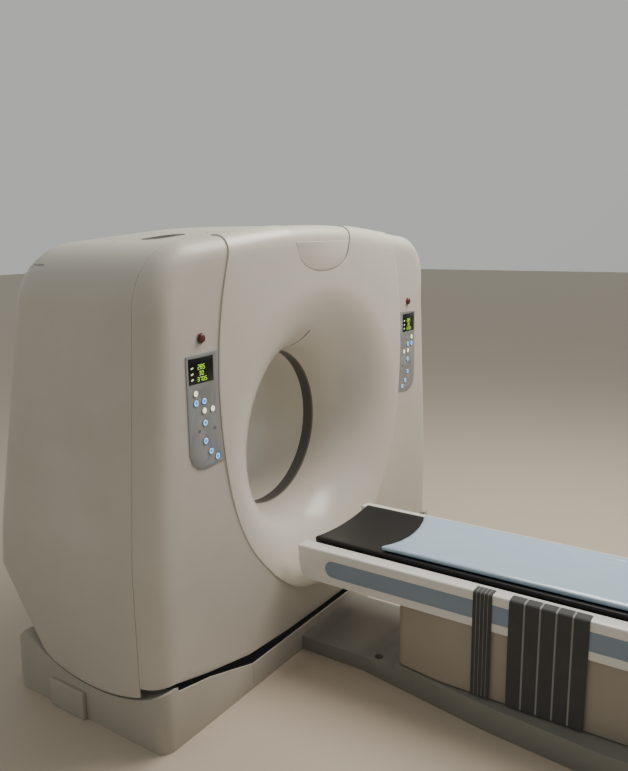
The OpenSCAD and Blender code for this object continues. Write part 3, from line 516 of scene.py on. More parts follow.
net = net_of(*shell_net, lambda x, y, z: (y > 0.2) & (abs(x) < rear_half + 0.03)
             & (z < rear_top + 0.03))
slice_along(net, [(-rear_half, -1.0), (-rear_half, rear_top), (rear_half, rear_top),
                  (rear_half, -1.0)], (0, 2), 0.04, lambda c: c.y > 0.2)
drop(net, lambda c: abs(c.x) > rear_half or c.z > rear_top)
slice_along(net, hem_arc, (1, 2), 0.03)
drop(net, lambda c: inside(under, c.y, c.z) or c.y < 0.25)
mouth = [rear_rim(a, wall + 0.001)[::2] for a in np.linspace(0, 2 * math.pi, 97)]
cut_out(net, mouth)
cover(net, "rear_cover_skin", "rear_cover")

steps_round, straight = 192, 0.42
net = bmesh.new()
rings = []
for share in np.linspace(0, 1, 12):
    ring = []
    for a in np.linspace(0, 2 * math.pi, steps_round, endpoint=False):
        if share < straight:
            y, r = window_half + (flare_y - window_half) * share / straight, bore_r
        else:
            y = flare_y + (rear_rim(a)[1] - flare_y) * (share - straight) / (1 - straight)
            r = bore_r + (y - flare_y) * flare
        ring.append(net.verts.new((r * math.cos(a), y, iso + r * math.sin(a))))
    rings.append(ring)
for a, b in zip(rings, rings[1:]):
    for k in range(steps_round):
        n = (k + 1) % steps_round
        net.faces.new([a[k], a[n], b[n], b[k]])
outward(net)
net.faces.ensure_lookup_table()
probe = net.faces[0]
if probe.normal.dot(probe.calc_center_median() - Vector((0, probe.calc_center_median().y, iso))) > 0:
    bmesh.ops.reverse_faces(net, faces=net.faces)
finish_piece(walled(piece_of(net, "rear_funnel_liner"), wall, 0.0015), funnel_finish, "gantry",
             "funnel", "rear_funnel")

# Funnel panel
# The lighter middle of the front: one moulding from the foot of the gantry up over the crown, with
# the trumpet mouth of the bore in it. It stands 5 mm proud of the front cover with a rounded lip.


def turned(profile, x=0.0, z=iso, steps=steps_round, finishes=None):
    """Turns (radius, y) points about a line along Y. finishes has each ring's material number."""
    net = bmesh.new()
    turns = np.linspace(0, 2 * math.pi, steps, endpoint=False)
    rings = [[net.verts.new((x, y, z))] if r == 0 else
             [net.verts.new((x + r * math.cos(a), y, z + r * math.sin(a))) for a in turns]
             for r, y in profile]
    for row, (a, b) in enumerate(zip(rings, rings[1:])):
        for k in range(steps):
            n = (k + 1) % steps
            corners = [a[k % len(a)], b[k % len(b)], b[n % len(b)], a[n % len(a)]]
            face = net.faces.new(list(dict.fromkeys(corners)))
            face.material_index = finishes[row] if finishes else 0
    bmesh.ops.remove_doubles(net, verts=net.verts, dist=1e-6)
    outward(net)
    return net


lip = 0.005
flare_r = 0.306
mouth_r = bore_r + flare_r
proud_net = cast(lip, 110)
net = net_of(*proud_net, lambda x, y, z: (y < seam_y + 0.03) & (abs(x) < 0.75))
slice_net(net, (0, seam_y, 0), (0, 1, 0), at_seam)
drop(net, lambda c: c.y > seam_y)
edge = both(lobe)
cut_out(net, edge, keep=True)
gap_tongue = both(grown(tongue, 0.0015, (0, 1.9)))
cut_out(net, gap_tongue, 0.025)
join_r = mouth_r + 0.006
ring = [(join_r * math.cos(a), iso + join_r * math.sin(a))
        for a in np.linspace(0, 2 * math.pi, steps_round + 1)]
cut_out(net, ring, 0.025)
trumpet = [(mouth_r - flare_r * math.cos(t), -window_half - flare_r * math.sin(t))
           for t in np.linspace(0.02, math.pi / 2, 40)]
mouth_net = turned([(bore_r, -window_half), *trumpet, (join_r, front_face - lip)])
mouth_net.faces.ensure_lookup_table()
if mouth_net.faces[-1].normal.y > 0:
    bmesh.ops.reverse_faces(mouth_net, faces=mouth_net.faces)
cut_out(mouth_net, edge, 0.06, keep=True)
spare = bpy.data.meshes.new("mouth")
mouth_net.to_mesh(spare)
mouth_net.free()
net.from_mesh(spare)
bpy.data.meshes.remove(spare)
bmesh.ops.remove_doubles(net, verts=net.verts, dist=2e-4)
bmesh.ops.dissolve_degenerate(net, edges=net.edges, dist=4e-4)
# Where a corner of one side lies on an open edge of the other, that edge is split before the merge
rim = [e for e in net.edges if e.is_boundary and all(
    abs(math.hypot(v.co.x, v.co.z - iso) - join_r) < 0.001 for v in e.verts)]
for corner_of in list(dict.fromkeys(v for e in rim for v in e.verts)):
    for e in list(rim):
        a, run = e.verts[0].co, e.verts[1].co - e.verts[0].co
        t = (corner_of.co - a).dot(run) / run.length_squared
        if (corner_of not in e.verts and 0.002 < t < 0.998
                and (a + run * t - corner_of.co).length < 4e-4):
            new_edge, new_corner = bmesh.utils.edge_split(e, e.verts[0], t)
            new_corner.co = corner_of.co
            rim.append(new_edge)
bmesh.ops.remove_doubles(net, verts=net.verts, dist=2e-4)
finish_piece(walled(piece_of(net, "funnel_panel"), wall - 0.001, 0.0035, 3), funnel_finish,
             "gantry", "funnel", "bore_funnel")

# Tongue plate
# The thin half-round plate on the top cover's tongue, in the funnel's colour. It stays bare, and is
# held by adhesive tape.


def raise_faces(net, y):
    """Extrudes all the faces of a net along Y into closed plates."""
    raised = bmesh.ops.extrude_face_region(net, geom=list(net.faces))
    bmesh.ops.translate(net, vec=(0, y, 0),
                        verts=[v for v in raised["geom"] if isinstance(v, bmesh.types.BMVert)])
    outward(net)


plate_t, plate_rim, plate_top = 0.003, 0.005, 1.710
plate_edge = [p for p in grown(both(tongue), -plate_rim, (0, 1.9)) if p[1] < plate_top]
plate_edge = [(plate_edge[0][0] - 0.0015, plate_top), *plate_edge,
              (plate_edge[-1][0] + 0.0015, plate_top)]
net = bmesh.new()
net.faces.new([net.verts.new((x, front_face, z)) for x, z in plate_edge])
raise_faces(net, -plate_t)
finish_piece(eased(piece_of(net, "tongue_plate"), 0.0013), funnel_finish, "gantry", "funnel",
             "emblem_plate")

# Scan window
# A smoked film of polyester stretched round the throat, which X-rays pass through. It is satin,
# and painted darker behind its front edge, which is painted shade deeper in the throat.
window_finish, t, shader, spot = blank_finish("smoked polyester film")
band = add(t, "ShaderNodeSeparateXYZ", Vector=spot)
# Painted shade: the film turns darker behind its front edge, deeper in the throat
shade_behind_front_edge = add(t, "ShaderNodeMapRange", Value=band.outputs["Y"], From_Min=-0.024, From_Max=-0.016,
                interpolation_type="SMOOTHSTEP")
tone = add(t, "ShaderNodeMix", data_type="RGBA", Factor=shade_behind_front_edge.outputs["Result"],
           A=linear("#7C746B"), B=linear("#4F4C49"))
settle(t, shader, Base_Color=tone.outputs[2], Roughness=0.32, IOR=1.58)
film_t = 0.003
net = turned([(bore_r, -window_half), (bore_r, window_half), (bore_r + film_t, window_half),
              (bore_r + film_t, -window_half), (bore_r, -window_half)])
finish_piece(piece_of(net, "scan_window_film"), window_finish, "gantry", "scan_window",
             "scan_window")

# Machinery behind the covers
# The welded carrier, bearing, rotor, tube, generators, detector, drives and the base frame, in the
# powder coats, enamels and bare metals of such machines. Their CAD shapes stay.


def plain_finish(name, colour, shade, roughness, metallic=0.0, grain=400.0, bite=0.08):
    finish, t, shader, spot = blank_finish(name)
    cloud = add(t, "ShaderNodeTexNoise", Vector=spot, Scale=grain / 60, Detail=5.0)
    tone = add(t, "ShaderNodeMix", data_type="RGBA", Factor=cloud.outputs["Fac"],
               A=linear(colour), B=linear(shade))
    fine = add(t, "ShaderNodeTexNoise", Vector=spot, Scale=grain, Detail=2.0)
    bump = add(t, "ShaderNodeBump", Height=fine.outputs["Fac"], Strength=bite, Distance=0.0005)
    settle(t, shader, Base_Color=tone.outputs[2], Normal=bump.outputs["Normal"],
           Roughness=roughness, Metallic=metallic)
    return finish


machine_finishes = {
    "frame_paint": plain_finish("grey powder coat", "#8C9196", "#7F8489", 0.5),
    "base_paint": plain_finish("dark grey powder coat", "#5F6468", "#54595D", 0.55),
    "motor_paint": plain_finish("blue grey motor enamel", "#3F4A55", "#35404A", 0.4),
    "steel": plain_finish("ground steel", "#B9BDC2", "#A3A7AC", 0.3, 1.0),
    "belt": plain_finish("neoprene belt", "#26282B", "#1D1F22", 0.7),
    "rotor": plain_finish("machined aluminium", "#9AA0A6", "#898F95", 0.35, 1.0),
    "tube_housing": plain_finish("light grey enamel", "#C9CCD0", "#BBBEC2", 0.4),
    "generator": plain_finish("slate enamel", "#4C5B66", "#425059", 0.45),
    "detector": plain_finish("green grey enamel", "#5E6E64", "#52615A", 0.45),
    "vent": plain_finish("dark grey grille moulding", "#5A5856", "#504E4C", 0.55),
    "laser_window": plain_finish("smoked acrylic", "#2A2C30", "#222428", 0.15, 0.0, 60.0, 0.02),
}
for record in frame["record"]["subparts"]:
    node = frame["nodes"][record["node"]]
    finish = machine_finishes.get(record["material_slot"])
    if finish:
        if not node.material_slots:
            node.data.materials.append(finish)
        for place in node.material_slots:
            place.material = finish

# Laser windows
# The long slot and the round lens of the positioning laser in the funnel's crown, two inlays of
# glossy smoked acrylic that stand a little proud of the moulding.


def on_trumpet(x, t, proud):
    """The point of the funnel's crown at x, an angle t into its round mouth."""
    r = mouth_r - (flare_r + proud) * math.cos(t)
    return x, -window_half - (flare_r + proud) * math.sin(t), iso + math.sqrt(r * r - x * x)


def slab(net, low, high):
    """Closes two like grids of corners into one slab, with a wall round it."""
    rows, columns = len(low) - 1, len(low[0]) - 1
    for i in range(rows):
        for j in range(columns):
            net.faces.new([high[i][j], high[i + 1][j], high[i + 1][j + 1], high[i][j + 1]])
            net.faces.new([low[i][j], low[i][j + 1], low[i + 1][j + 1], low[i + 1][j]])
    for i in range(rows):
        for j in (0, columns):
            net.faces.new([low[i][j], low[i + 1][j], high[i + 1][j], high[i][j]])
    for j in range(columns):
        for i in (0, rows):
            net.faces.new([low[i][j], low[i][j + 1], high[i][j + 1], high[i][j]])
    outward(net)


def inlay(name, start, end, half_at, *nodes):
    """A thin inlay between two angles of the mouth, as wide on each side as half_at says."""
    net = bmesh.new()
    rows, columns = 28, 6
    # The rows are closer towards the ends, which are round
    shares = [0.5 - 0.5 * math.cos(math.pi * (0.04 + 0.92 * i / rows)) for i in range(rows + 1)]
    slab(net, *([[net.verts.new(on_trumpet(half_at(share) * (2 * k / columns - 1),
                                           start + (end - start) * share, proud))
                  for k in range(columns + 1)] for share in shares]
                for proud in (-0.0012, 0.0006)))
    finish_piece(piece_of(net, name), machine_finishes["laser_window"], "gantry",
                 "laser_window", *nodes)


slot_half, slot_long, slot_r, lens_r, lens_t = 0.004, 0.118, (0.376, 0.452), 0.011, 0.26


def slot_width(share):
    """Half the width of the slot, which has round ends."""
    past = max(0.0, (abs(share - 0.5) - 0.5) * slot_long + slot_half) / slot_half
    return slot_half * math.sqrt(max(0.0, 1 - past ** 2))


inlay("laser_slot", *(math.acos((mouth_r - r) / flare_r) for r in slot_r), slot_width,
      "laser_windows")
inlay("laser_lens", lens_t - lens_r / flare_r, lens_t + lens_r / flare_r,
      lambda share: lens_r * math.sqrt(1 - (2 * share - 1) ** 2))

# Base covers, sills and anchor covers
# Thick satin grey mouldings on the base frame: two side boxes with an arched top that the gantry
# tilts in, a low sill before and behind, and small boxes over the anchor bolts.
base_finish = painted_moulding("satin warm grey moulding", "#BEB9AF", "#B4AFA5", 0.48)


def eased_copy(node, name, edge, finish, body, slot, round_edge=None, round_r=0.0, segments=3):
    """The shape of a CAD node with eased edges, and wider rounds where round_edge says so."""
    net = bmesh.new()
    net.from_mesh(frame["nodes"][node].data)
    bmesh.ops.remove_doubles(net, verts=net.verts, dist=2e-5)
    bmesh.ops.dissolve_limit(net, angle_limit=0.003, verts=net.verts, edges=net.edges)
    if round_edge:
        wide = [e for e in net.edges if e.is_manifold and e.calc_face_angle(0) > 0.4
                and round_edge((e.verts[0].co + e.verts[1].co) / 2)]
        bmesh.ops.bevel(net, geom=wide, offset=round_r, segments=6, profile=0.5, affect="EDGES",
                        clamp_overlap=True)
    finish_piece(eased(piece_of(net, name), edge, segments, 32), finish, body, slot, node)


for side in ("left", "right"):
    eased_copy("base_cover_" + side, "base_cover_skin_" + side, 0.003, base_finish, "base",
               "base_cover")
eased_copy("base_sills", "base_sill_skins", 0.0025, base_finish, "base", "base_cover")
eased_copy("anchor_covers", "anchor_cover_boxes", 0.003, base_finish, "base", "base_cover")

# Control panels
# A silver polyester film on a moulded plate at each side of the mouth, with a black glass display
# that shows three rows of lit numbers, and two printed marks beside the keys.
panel_y = front_face - 0.003
film_finish = plain_finish("silver grey polyester film", "#A6A7A8", "#9C9D9F", 0.34, 0.15, 500.0,
                           0.05)
glass_finish = plain_finish("black display glass", "#090B0A", "#0D100E", 0.1, 0.0, 30.0, 0.01)
mark_finish = plain_finish("grey printed ink", "#7C7C7E", "#757577", 0.5)


def lit_finish(name, colour, shade, strength):
    finish = plain_finish(name, colour, shade, 0.35, 0.0, 700.0, 0.03)
    t = finish.node_tree
    shader = t.nodes["Principled BSDF"]
    spot = add(t, "ShaderNodeTexCoord").outputs["Object"]
    glow = add(t, "ShaderNodeTexNoise", Vector=spot, Scale=300.0, Detail=1.0)
    tone = add(t, "ShaderNodeMix", data_type="RGBA", Factor=glow.outputs["Fac"],
               A=linear(colour), B=linear(shade))
    settle(t, shader, Emission_Color=tone.outputs[2], Emission_Strength=strength)
    return finish


digit_finish = lit_finish("lit green digit", "#A8E02C", "#86C41C", 1.5)
tick_finish = lit_finish("lit white mark", "#DDF0D0", "#CFE6C0", 0.9)
display_at = (0.767, 1.298)
strokes = {"a": (0, 1, 1, 1), "b": (1, 0.5, 1, 1), "c": (1, 0, 1, 0.5), "d": (0, 0, 1, 0),
           "e": (0, 0, 0, 0.5), "f": (0, 0.5, 0, 1), "g": (0, 0.5, 1, 0.5)}
lit = {"0": "abcdef", "2": "abged", "3": "abgcd", "5": "afgcd", "7": "abc", "8": "abcdefg"}
figures = (("285", -0.016, 0.004, 0.015), ("30", -0.010, -0.016, 0.013),
           ("3705", -0.020, -0.036, 0.013))
figure_w, figure_step, stroke_w, glow_h = 0.0078, 0.0125, 0.0019, 0.0003
glass_half_w, glass_half_h = 0.061, 0.044


def bar(net, x0, z0, x1, z1, thick, y, depth):
    """A thin raised bar from one point to another on a face at y."""
    a, b = Vector((x0, y, z0)), Vector((x1, y, z1))
    along = (b - a).normalized() * thick * 0.35
    across = Vector((-(b - a).z, 0, (b - a).x)).normalized() * thick / 2
    base = [a + along - across, b - along - across, b - along + across, a + along + across]
    low = [net.verts.new(v) for v in base]
    high = [net.verts.new(v - Vector((0, depth, 0))) for v in base]
    net.faces.new(high)
    net.faces.new(low[::-1])
    for k in range(4):
        net.faces.new([low[k], low[(k + 1) % 4], high[(k + 1) % 4], high[k]])


for side, sign in (("left", -1), ("right", 1)):
    eased_copy("panel_" + side, "panel_film_" + side, 0.0009, film_finish, "gantry", "panel_film",
               segments=2)
    cx, cz = sign * display_at[0], display_at[1]
    glass_y = panel_y - 0.001
    net = bmesh.new()
    net.faces.new([net.verts.new((cx + u * glass_half_w, panel_y + 0.002, cz + v * glass_half_h))
                   for u, v in ((-1, -1), (1, -1), (1, 1), (-1, 1))])
    raise_faces(net, glass_y - panel_y - 0.002)
    finish_piece(eased(piece_of(net, "display_glass_" + side), 0.0012, 3, 30), glass_finish,
                 "gantry", "display", *(["displays"] if sign < 0 else []))
    net = bmesh.new()
    for text, left, low_z, high in figures:
        for k, figure in enumerate(text):
            for stroke in lit[figure]:
                x0, z0, x1, z1 = strokes[stroke]
                left_x = cx + left + k * figure_step
                bar(net, left_x + x0 * figure_w, cz + low_z + z0 * high, left_x + x1 * figure_w,
                    cz + low_z + z1 * high, stroke_w, glass_y, glow_h)
    outward(net)
    finish_piece(piece_of(net, "display_digits_" + side), digit_finish, "gantry", "display",
                 smooth=False)
    net = bmesh.new()
    for z in (0.010, -0.010, -0.029):
        bar(net, cx - 0.052, cz + z - 0.001, cx - 0.038, cz + z + 0.003, 0.005, glass_y, glow_h)
    outward(net)
    finish_piece(piece_of(net, "display_marks_" + side), tick_finish, "gantry", "display",
                 smooth=False)
    net = bmesh.new()
    for x, z in ((0.788, 1.089), (0.710, 1.086)):
        ring = [net.verts.new((sign * x + 0.008 * math.cos(a), panel_y - 0.0002,
                               z + 0.006 * math.sin(a))) for a in np.linspace(0, 5.89, 16)]
        net.faces.new(ring)
    raise_faces(net, 0.0002)
    finish_piece(piece_of(net, "printed_marks_" + side), mark_finish, "gantry", "panel_film",
                 smooth=False)

# Keys and stop buttons
# Round push keys in clear acrylic, each lit from behind by a ring of diodes, white or blue, with a
# darker middle. The stop button is a plain dark red mushroom in a grey collar.
key_rim = plain_finish("clear grey key rim", "#9FA3A6", "#94989B", 0.25, 0.0, 600.0, 0.02)
key_lights = {
    "blue": (lit_finish("lit blue ring", "#79C4FF", "#5FB2FA", 1.9),
             lit_finish("blue key middle", "#2E8FE0", "#2684D4", 0.9)),
    "white": (lit_finish("lit white ring", "#FFF6DE", "#FBEFCF", 1.3),
              lit_finish("white key middle", "#F5E9C8", "#EFE2BD", 1.0)),
}
key_places = [(0.800, 1.222), (0.800, 1.189), (0.760, 1.190), (0.761, 1.157), (0.719, 1.156),
              (0.759, 1.114), (0.760, 1.050), (0.735, 1.008), (0.703, 0.982)]
key_profile = [(0.0, -0.33520), (0.0056, -0.33535), (0.0062, -0.33590), (0.0066, -0.33600),
               (0.0094, -0.33600), (0.0099, -0.33585), (0.0107, -0.33540), (0.0110, -0.33480),
               (0.0110, -0.32750), (0.0, -0.32750)]

key_stripes = (1, 1, 0, 0, 0, 2, 2, 2, 2)
for side, sign in (("left", -1), ("right", 1)):
    for number, (x, z) in enumerate(key_places, 1):
        ring_light, middle_light = key_lights["white" if number in (1, 4, 5) else "blue"]
        net = turned(key_profile, sign * x, z, 40, key_stripes)
        name = "%s_%d" % (side, number)
        finish_piece(piece_of(net, "key_cap_" + name), [ring_light, middle_light, key_rim],
                     "key_" + name, "key_white" if number in (1, 4, 5) else "key_blue",
                     "key_" + name)

stop_finish = plain_finish("dark red moulded button", "#6A3230", "#5F2B29", 0.38, 0.0, 500.0, 0.04)
collar_finish = plain_finish("grey button collar", "#8E8A84", "#84807A", 0.45)
stop_profile = [(0.0, -0.3420), (0.009, -0.3418), (0.0128, -0.3408), (0.0145, -0.3390),
                (0.0150, -0.3365), (0.0150, -0.3215), (0.0, -0.3215)]
collar_profile = [(0.0156, -0.3300), (0.0160, -0.3316), (0.0186, -0.3316), (0.0200, -0.3300)]
for side, sign in (("left", -1), ("right", 1)):
    finish_piece(piece_of(turned(stop_profile, sign * stop_at[0], stop_at[1], 48),
                          "stop_button_" + side), stop_finish, "stop_" + side, "stop_red",
                 "stop_" + side)
    net = turned(collar_profile + collar_profile[:1], sign * stop_at[0], stop_at[1], 48)
    finish_piece(piece_of(net, "stop_collar_" + side), collar_finish, "gantry", "shell")

# Cover screws
# Domed steel screws through the side covers at the crown, four round each vent. One Geometry Nodes
# tree sets them on their points.


def crown_height(x, y):
    """The height of the covers' form above x, y."""
    near, far = 1.2, 2.0
    for _ in range(30):
        half = (near + far) / 2
        above = form(*np.array([[x], [y], [half]]))[0] > 0
        near, far = (near, half) if above else (half, far)
    return near


screw_points = [(s * x, y, crown_height(x, y) - 0.0006) for s in (-1, 1)
                for x in (0.470, 0.760) for y in (-0.120, 0.060)]
screws = bpy.data.meshes.new("cover_screws")
screws.from_pydata(screw_points, [], [])
screw_piece = bpy.data.objects.new("cover_screws", screws)
screw_finish = plain_finish("nickel plated screw", "#B8B9BB", "#A9AAAC", 0.25, 1.0)
tree = bpy.data.node_groups.new("screws on points", "GeometryNodeTree")
for way in ("INPUT", "OUTPUT"):
    tree.interface.new_socket("Geometry", in_out=way, socket_type="NodeSocketGeometry")
head_r, head_h = (tree.interface.new_socket(label, in_out="INPUT", socket_type="NodeSocketFloat")
                  for label in ("Head radius", "Head height"))
start = add(tree, "NodeGroupInput").outputs
share = add(tree, "ShaderNodeMath", operation="DIVIDE", Value=start["Head height"])
tree.links.new(start["Head radius"], share.inputs[1])
head = add(tree, "GeometryNodeMeshUVSphere", Segments=20, Rings=10, Radius=start["Head radius"])
squash = add(tree, "ShaderNodeCombineXYZ", X=1.0, Y=1.0, Z=share.outputs[0])
spread = add(tree, "GeometryNodeInstanceOnPoints", Points=start["Geometry"],
             Instance=head.outputs["Mesh"], Scale=squash.outputs[0])
real = add(tree, "GeometryNodeRealizeInstances", Geometry=spread.outputs["Instances"])
coat = add(tree, "GeometryNodeSetMaterial", Geometry=real.outputs["Geometry"],
           Material=screw_finish)
add(tree, "NodeGroupOutput", Geometry=coat.outputs["Geometry"])
setting = screw_piece.modifiers.new("screws", "NODES")
setting.node_group = tree
setting[head_r.identifier], setting[head_h.identifier] = 0.0055, 0.0018
finish_piece(screw_piece, screw_finish, "gantry", "steel", angle=3.1)

# Plinth and lift covers
# The plinth is a cast plate in grey enamel with a groove round it. Its dark grey green colour is
# painted shade and painted reflection of the couch above. Three beige enamelled sheet sleeves
# slide in one another round the lift column.
plinth_shade_painted_finish = plain_finish("grey green enamel", "#87867F", "#7C7B74", 0.42)
sleeve_finish = plain_finish("beige enamelled sheet", "#A69D8F", "#9C9386", 0.5)
eased_copy("couch_plinth", "couch_plinth_plate", 0.004, plinth_shade_painted_finish, "base", "plinth")
eased_copy("lift_cover_lower", "lift_sleeve_lower", 0.0014, sleeve_finish, "base", "lift_cover")
eased_copy("lift_stage", "lift_sleeve_middle", 0.0014, sleeve_finish, "lift_stage", "lift_cover")
eased_copy("lift_cover_upper", "lift_sleeve_upper", 0.0014, sleeve_finish, "lift", "lift_cover")

# Couch frame
# A white enamelled trough with a broad rounded rim, and a pale blue inlay let into each side.
frame_finish = plain_finish("white gloss enamel", "#ECEAE6", "#E4E2DD", 0.22, 0.0, 250.0, 0.03)
frame_finish.node_tree.nodes["Principled BSDF"].inputs["Coat Weight"].default_value = 0.4
inlay_finish = plain_finish("pale blue moulded inlay", "#8C9CAD", "#8494A6", 0.42)
rim_z, couch_half = 0.507, 0.287


def on_outer_rim(c):
    """True on the rim's outer edges: along the sides, over the nose and down its corners."""
    top = c.z > rim_z - 0.003
    return (top and (abs(c.x) > couch_half - 0.004 or c.y > -0.376)) or (
        c.y > -0.375 and abs(c.x) > 0.28)


eased_copy("couch_frame", "couch_frame_trough", 0.0025, frame_finish, "lift", "couch_frame",
           on_outer_rim, 0.012)
eased_copy("couch_trim", "couch_side_inlays", 0.0012, inlay_finish, "lift", "trim")

# Couchtop
# A long hollow shell of black carbon laminate over foam, polished, that slides into the bore. The
# twill of 2 mm threads is drawn at 4 mm so that it shows.
carbon_finish, t, shader, spot = blank_finish("polished carbon laminate")
diagonal = add(t, "ShaderNodeMapping", Vector=spot, Rotation=(0, 0, math.radians(45)))
twill = add(t, "ShaderNodeTexWave", Vector=diagonal.outputs[0], Scale=125.0, Distortion=0.6)
tone = add(t, "ShaderNodeMix", data_type="RGBA", Factor=twill.outputs["Fac"],
           A=linear("#0B0C0E"), B=linear("#15171A"))
bump = add(t, "ShaderNodeBump", Height=twill.outputs["Fac"], Strength=0.05, Distance=0.0003)
settle(t, shader, Base_Color=tone.outputs[2], Normal=bump.outputs["Normal"], Roughness=0.5,
       IOR=1.33, Coat_Weight=0.08, Coat_Roughness=0.15)
eased_copy("couchtop", "couchtop_shell", 0.003, carbon_finish, "couchtop", "carbon")

# Mattress
# A thin foam pad in light blue glossy vinyl, welded at a seam round its edge, with a hollow front
# end. It lies in the couchtop and swells a little between its seams.
vinyl_finish, t, shader, spot = blank_finish("glossy light blue vinyl")
stretched = add(t, "ShaderNodeMapping", Vector=spot, Scale=(1.0, 0.35, 1.0))
crease = add(t, "ShaderNodeTexNoise", Vector=stretched.outputs[0], Scale=11.0, Detail=4.0,
             Roughness=0.55, Distortion=0.8)
tone = add(t, "ShaderNodeMix", data_type="RGBA", Factor=crease.outputs["Fac"],
           A=linear("#BBD2E8"), B=linear("#ABC4DC"))
bump = add(t, "ShaderNodeBump", Height=crease.outputs["Fac"], Strength=0.5, Distance=0.012)
pore = add(t, "ShaderNodeTexNoise", Vector=spot, Scale=500.0, Detail=2.0)
grain = add(t, "ShaderNodeBump", Height=pore.outputs["Fac"], Strength=0.06, Distance=0.0004,
            Normal=bump.outputs["Normal"])
settle(t, shader, Base_Color=tone.outputs[2], Normal=grain.outputs["Normal"], Roughness=0.2,
       Coat_Weight=0.7, Coat_Roughness=0.07)
pad_half, pad_foot, pad_head, pad_t, pad_r = 0.1985, -2.730, -0.7045, 0.0235, 0.006
swell_cap, weld_deep, weld_wide = 0.004, 0.0016, 0.0022
hollow, dish_half, dish_deep, dish_z = 0.034, 0.203, 0.016, 0.523
dish_r = (dish_half ** 2 + dish_deep ** 2) / (2 * dish_deep)


def dish_height(x):
    return dish_z - dish_deep + dish_r - math.sqrt(dish_r ** 2 - x * x)


def pad_end(x):
    """The hollow front end of the pad, in Y."""
    return pad_head - hollow * (1 - (x / pad_half) ** 2)


def pad_point(u, share, lift_by):
    """The pad's point at u from -1 to 1 across it and a share of its length."""
    x = pad_half * u
    return x, pad_foot + (pad_end(x) - pad_foot) * share, dish_height(x) + lift_by


net = bmesh.new()
across, along_n = 24, 120
slab(net, *([[net.verts.new(pad_point(2 * i / across - 1, j / along_n, lift_by))
              for j in range(along_n + 1)] for i in range(across + 1)]
            for lift_by in (0.0012, pad_t)))
pad = piece_of(net, "mattress_pad")
bpy.context.scene.collection.objects.link(pad)
eased(pad, pad_r)
mesh_up = pad.modifiers.new("fine net", "REMESH")
mesh_up.mode, mesh_up.voxel_size = "VOXEL", 0.006
applied(pad)
still = [v.co.copy() for v in pad.data.vertices]
blow = pad.modifiers.new("swelling", "CLOTH")
blow.settings.use_pressure = True
blow.settings.uniform_pressure_force = 4.0
blow.settings.effector_weights.gravity = 0.0
blow.settings.mass = 0.3
blow.settings.tension_stiffness = blow.settings.compression_stiffness = 40.0
blow.settings.quality = 4
blow.point_cache.frame_start, blow.point_cache.frame_end = 1, 20
for step in range(1, 21):
    bpy.context.scene.frame_set(step)
swollen = pad.evaluated_get(bpy.context.evaluated_depsgraph_get())
moved = [v.co.copy() for v in swollen.data.vertices]
pad.modifiers.clear()
bpy.context.scene.frame_set(1)
for v, a, b in zip(pad.data.vertices, still, moved):
    way = b - a
    if way.length > swell_cap:
        way = way.normalized() * swell_cap
    if way.z < 0 and a.z < dish_height(min(abs(a.x), dish_half)) + 0.010:
        way.z = 0.0
    v.co = a + way
# The weld seam: the pad's sides draw in along a line at half height
for v in pad.data.vertices:
    x, y, z = v.co
    half_height = dish_height(min(abs(x), dish_half)) + pad_t / 2
    draw = weld_deep * math.exp(-((z - half_height) / weld_wide) ** 2)
    if abs(x) > pad_half - pad_r:
        v.co.x -= math.copysign(draw, x)
    elif y > pad_end(max(-pad_half, min(pad_half, x))) - pad_r:
        v.co.y -= draw
    elif y < pad_foot + pad_r:
        v.co.y += draw
smooth_up = pad.modifiers.new("smooth skin", "SUBSURF")
smooth_up.levels = smooth_up.render_levels = 1
applied(pad)
finish_piece(pad, vinyl_finish, "couchtop", "vinyl", "mattress")

# Straps
# Two body straps of dark grey ribbed webbing, thrown over the couch's left rim. The wide one is
# sewn from five bands with light seams between. They lie on the rim and hang down the side.
webbing_finish, t, shader, spot = blank_finish("dark grey ribbed webbing")
weft = add(t, "ShaderNodeTexWave", Vector=spot, Scale=90.0, Distortion=1.2, bands_direction="Z")
rib = add(t, "ShaderNodeTexWave", Vector=spot, Scale=55.0, Distortion=0.4, bands_direction="Y")
weave = add(t, "ShaderNodeMath", operation="MULTIPLY", Value=weft.outputs["Fac"])
t.links.new(rib.outputs["Fac"], weave.inputs[1])
worn = add(t, "ShaderNodeTexNoise", Vector=spot, Scale=14.0, Detail=5.0)
tone = add(t, "ShaderNodeMix", data_type="RGBA", Factor=worn.outputs["Fac"],
           A=linear("#3B3C3C"), B=linear("#484A4A"))
bump = add(t, "ShaderNodeBump", Height=weave.outputs[0], Strength=0.5, Distance=0.0006)
settle(t, shader, Base_Color=tone.outputs[2], Normal=bump.outputs["Normal"], Roughness=0.8,
       Sheen_Weight=0.35, Sheen_Roughness=0.4)
seam_finish = plain_finish("light grey seam tape", "#8F908D", "#858683", 0.7, 0.0, 900.0, 0.2)
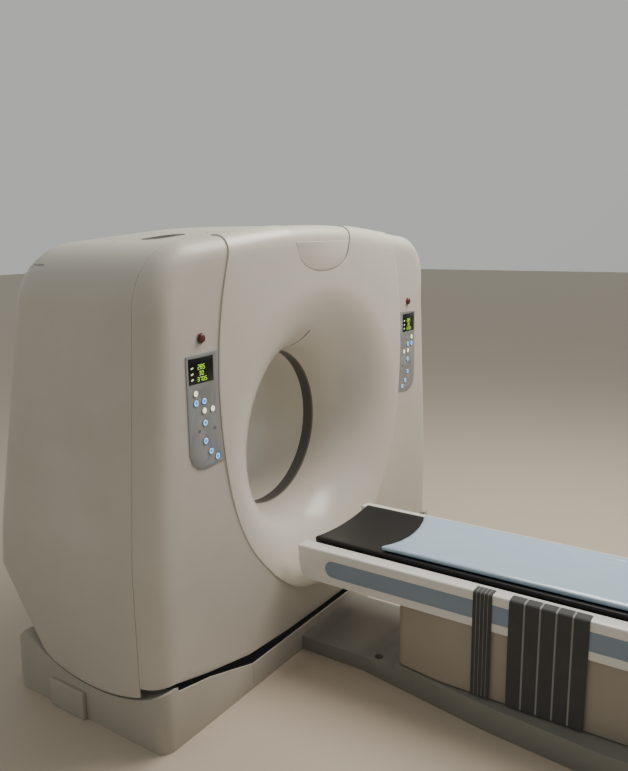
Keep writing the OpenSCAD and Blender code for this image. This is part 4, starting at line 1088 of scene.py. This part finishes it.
strap_end, strap_in, strap_side, strap_t = 0.110, -0.248, -0.2925, 0.0022
strap_path = [(strap_in, 0.5086), (-0.262, 0.5086), (-0.276, 0.5086), (-0.2825, 0.5083),
              (-0.2872, 0.5068), (-0.2902, 0.5040), (-0.2915, 0.5000), (strap_side + 0.0004, 0.492)]
strap_path += [(strap_side, z) for z in np.linspace(0.478, strap_end, 36)]


def webbing(name, node, from_y, width, bands, seam_w, rib_high, columns):
    """A strap along strap_path, with raised bands across its width and a slight wave below."""
    def from_seam(share):
        """How far this share of the width is from the nearest seam."""
        band = (share * bands) % 1.0
        return min(band, 1 - band) * width / bands

    net = bmesh.new()
    grid = []
    for (x, z), (px, pz), (nx, nz) in zip(strap_path, strap_path[:1] + strap_path[:-1],
                                          strap_path[1:] + strap_path[-1:]):
        run = Vector((nx - px, 0, nz - pz)).normalized()
        out = Vector((run.z, 0, -run.x))
        fall = max(0.0, (0.46 - z) / 0.35)
        line = []
        for k in range(columns + 1):
            share = k / columns
            high = rib_high * (1 - math.exp(-(from_seam(share) / (seam_w * 0.6)) ** 2))
            wave = 0.0007 * fall * math.sin(share * 9.0 + 1.0 + z * 6.0)
            line.append(net.verts.new(Vector((x + wave, from_y - width * share, z))
                                      + out * (high - strap_t / 2)))
        grid.append(line)
    for a, b in zip(grid, grid[1:]):
        for k in range(columns):
            f = net.faces.new([a[k], b[k], b[k + 1], a[k + 1]])
            share = (k + 0.5) / columns
            f.material_index = int(from_seam(share) < seam_w / 2 and 0.02 < share < 0.98)
    obj = piece_of(net, name)
    cloth = obj.modifiers.new("webbing", "SOLIDIFY")
    cloth.thickness, cloth.offset = strap_t, -1
    obj.data.materials.append(webbing_finish)
    obj.data.materials.append(seam_finish)
    finish_piece(obj, [webbing_finish, seam_finish], "lift", "strap", node, angle=1.2)


webbing("body_strap_narrow", "strap_narrow", -1.128, 0.070, 5, 0.0016, 0.0016, 60)
webbing("body_strap_wide", "strap_wide", -1.258, 0.268, 5, 0.0075, 0.0014, 90)

low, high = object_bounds()
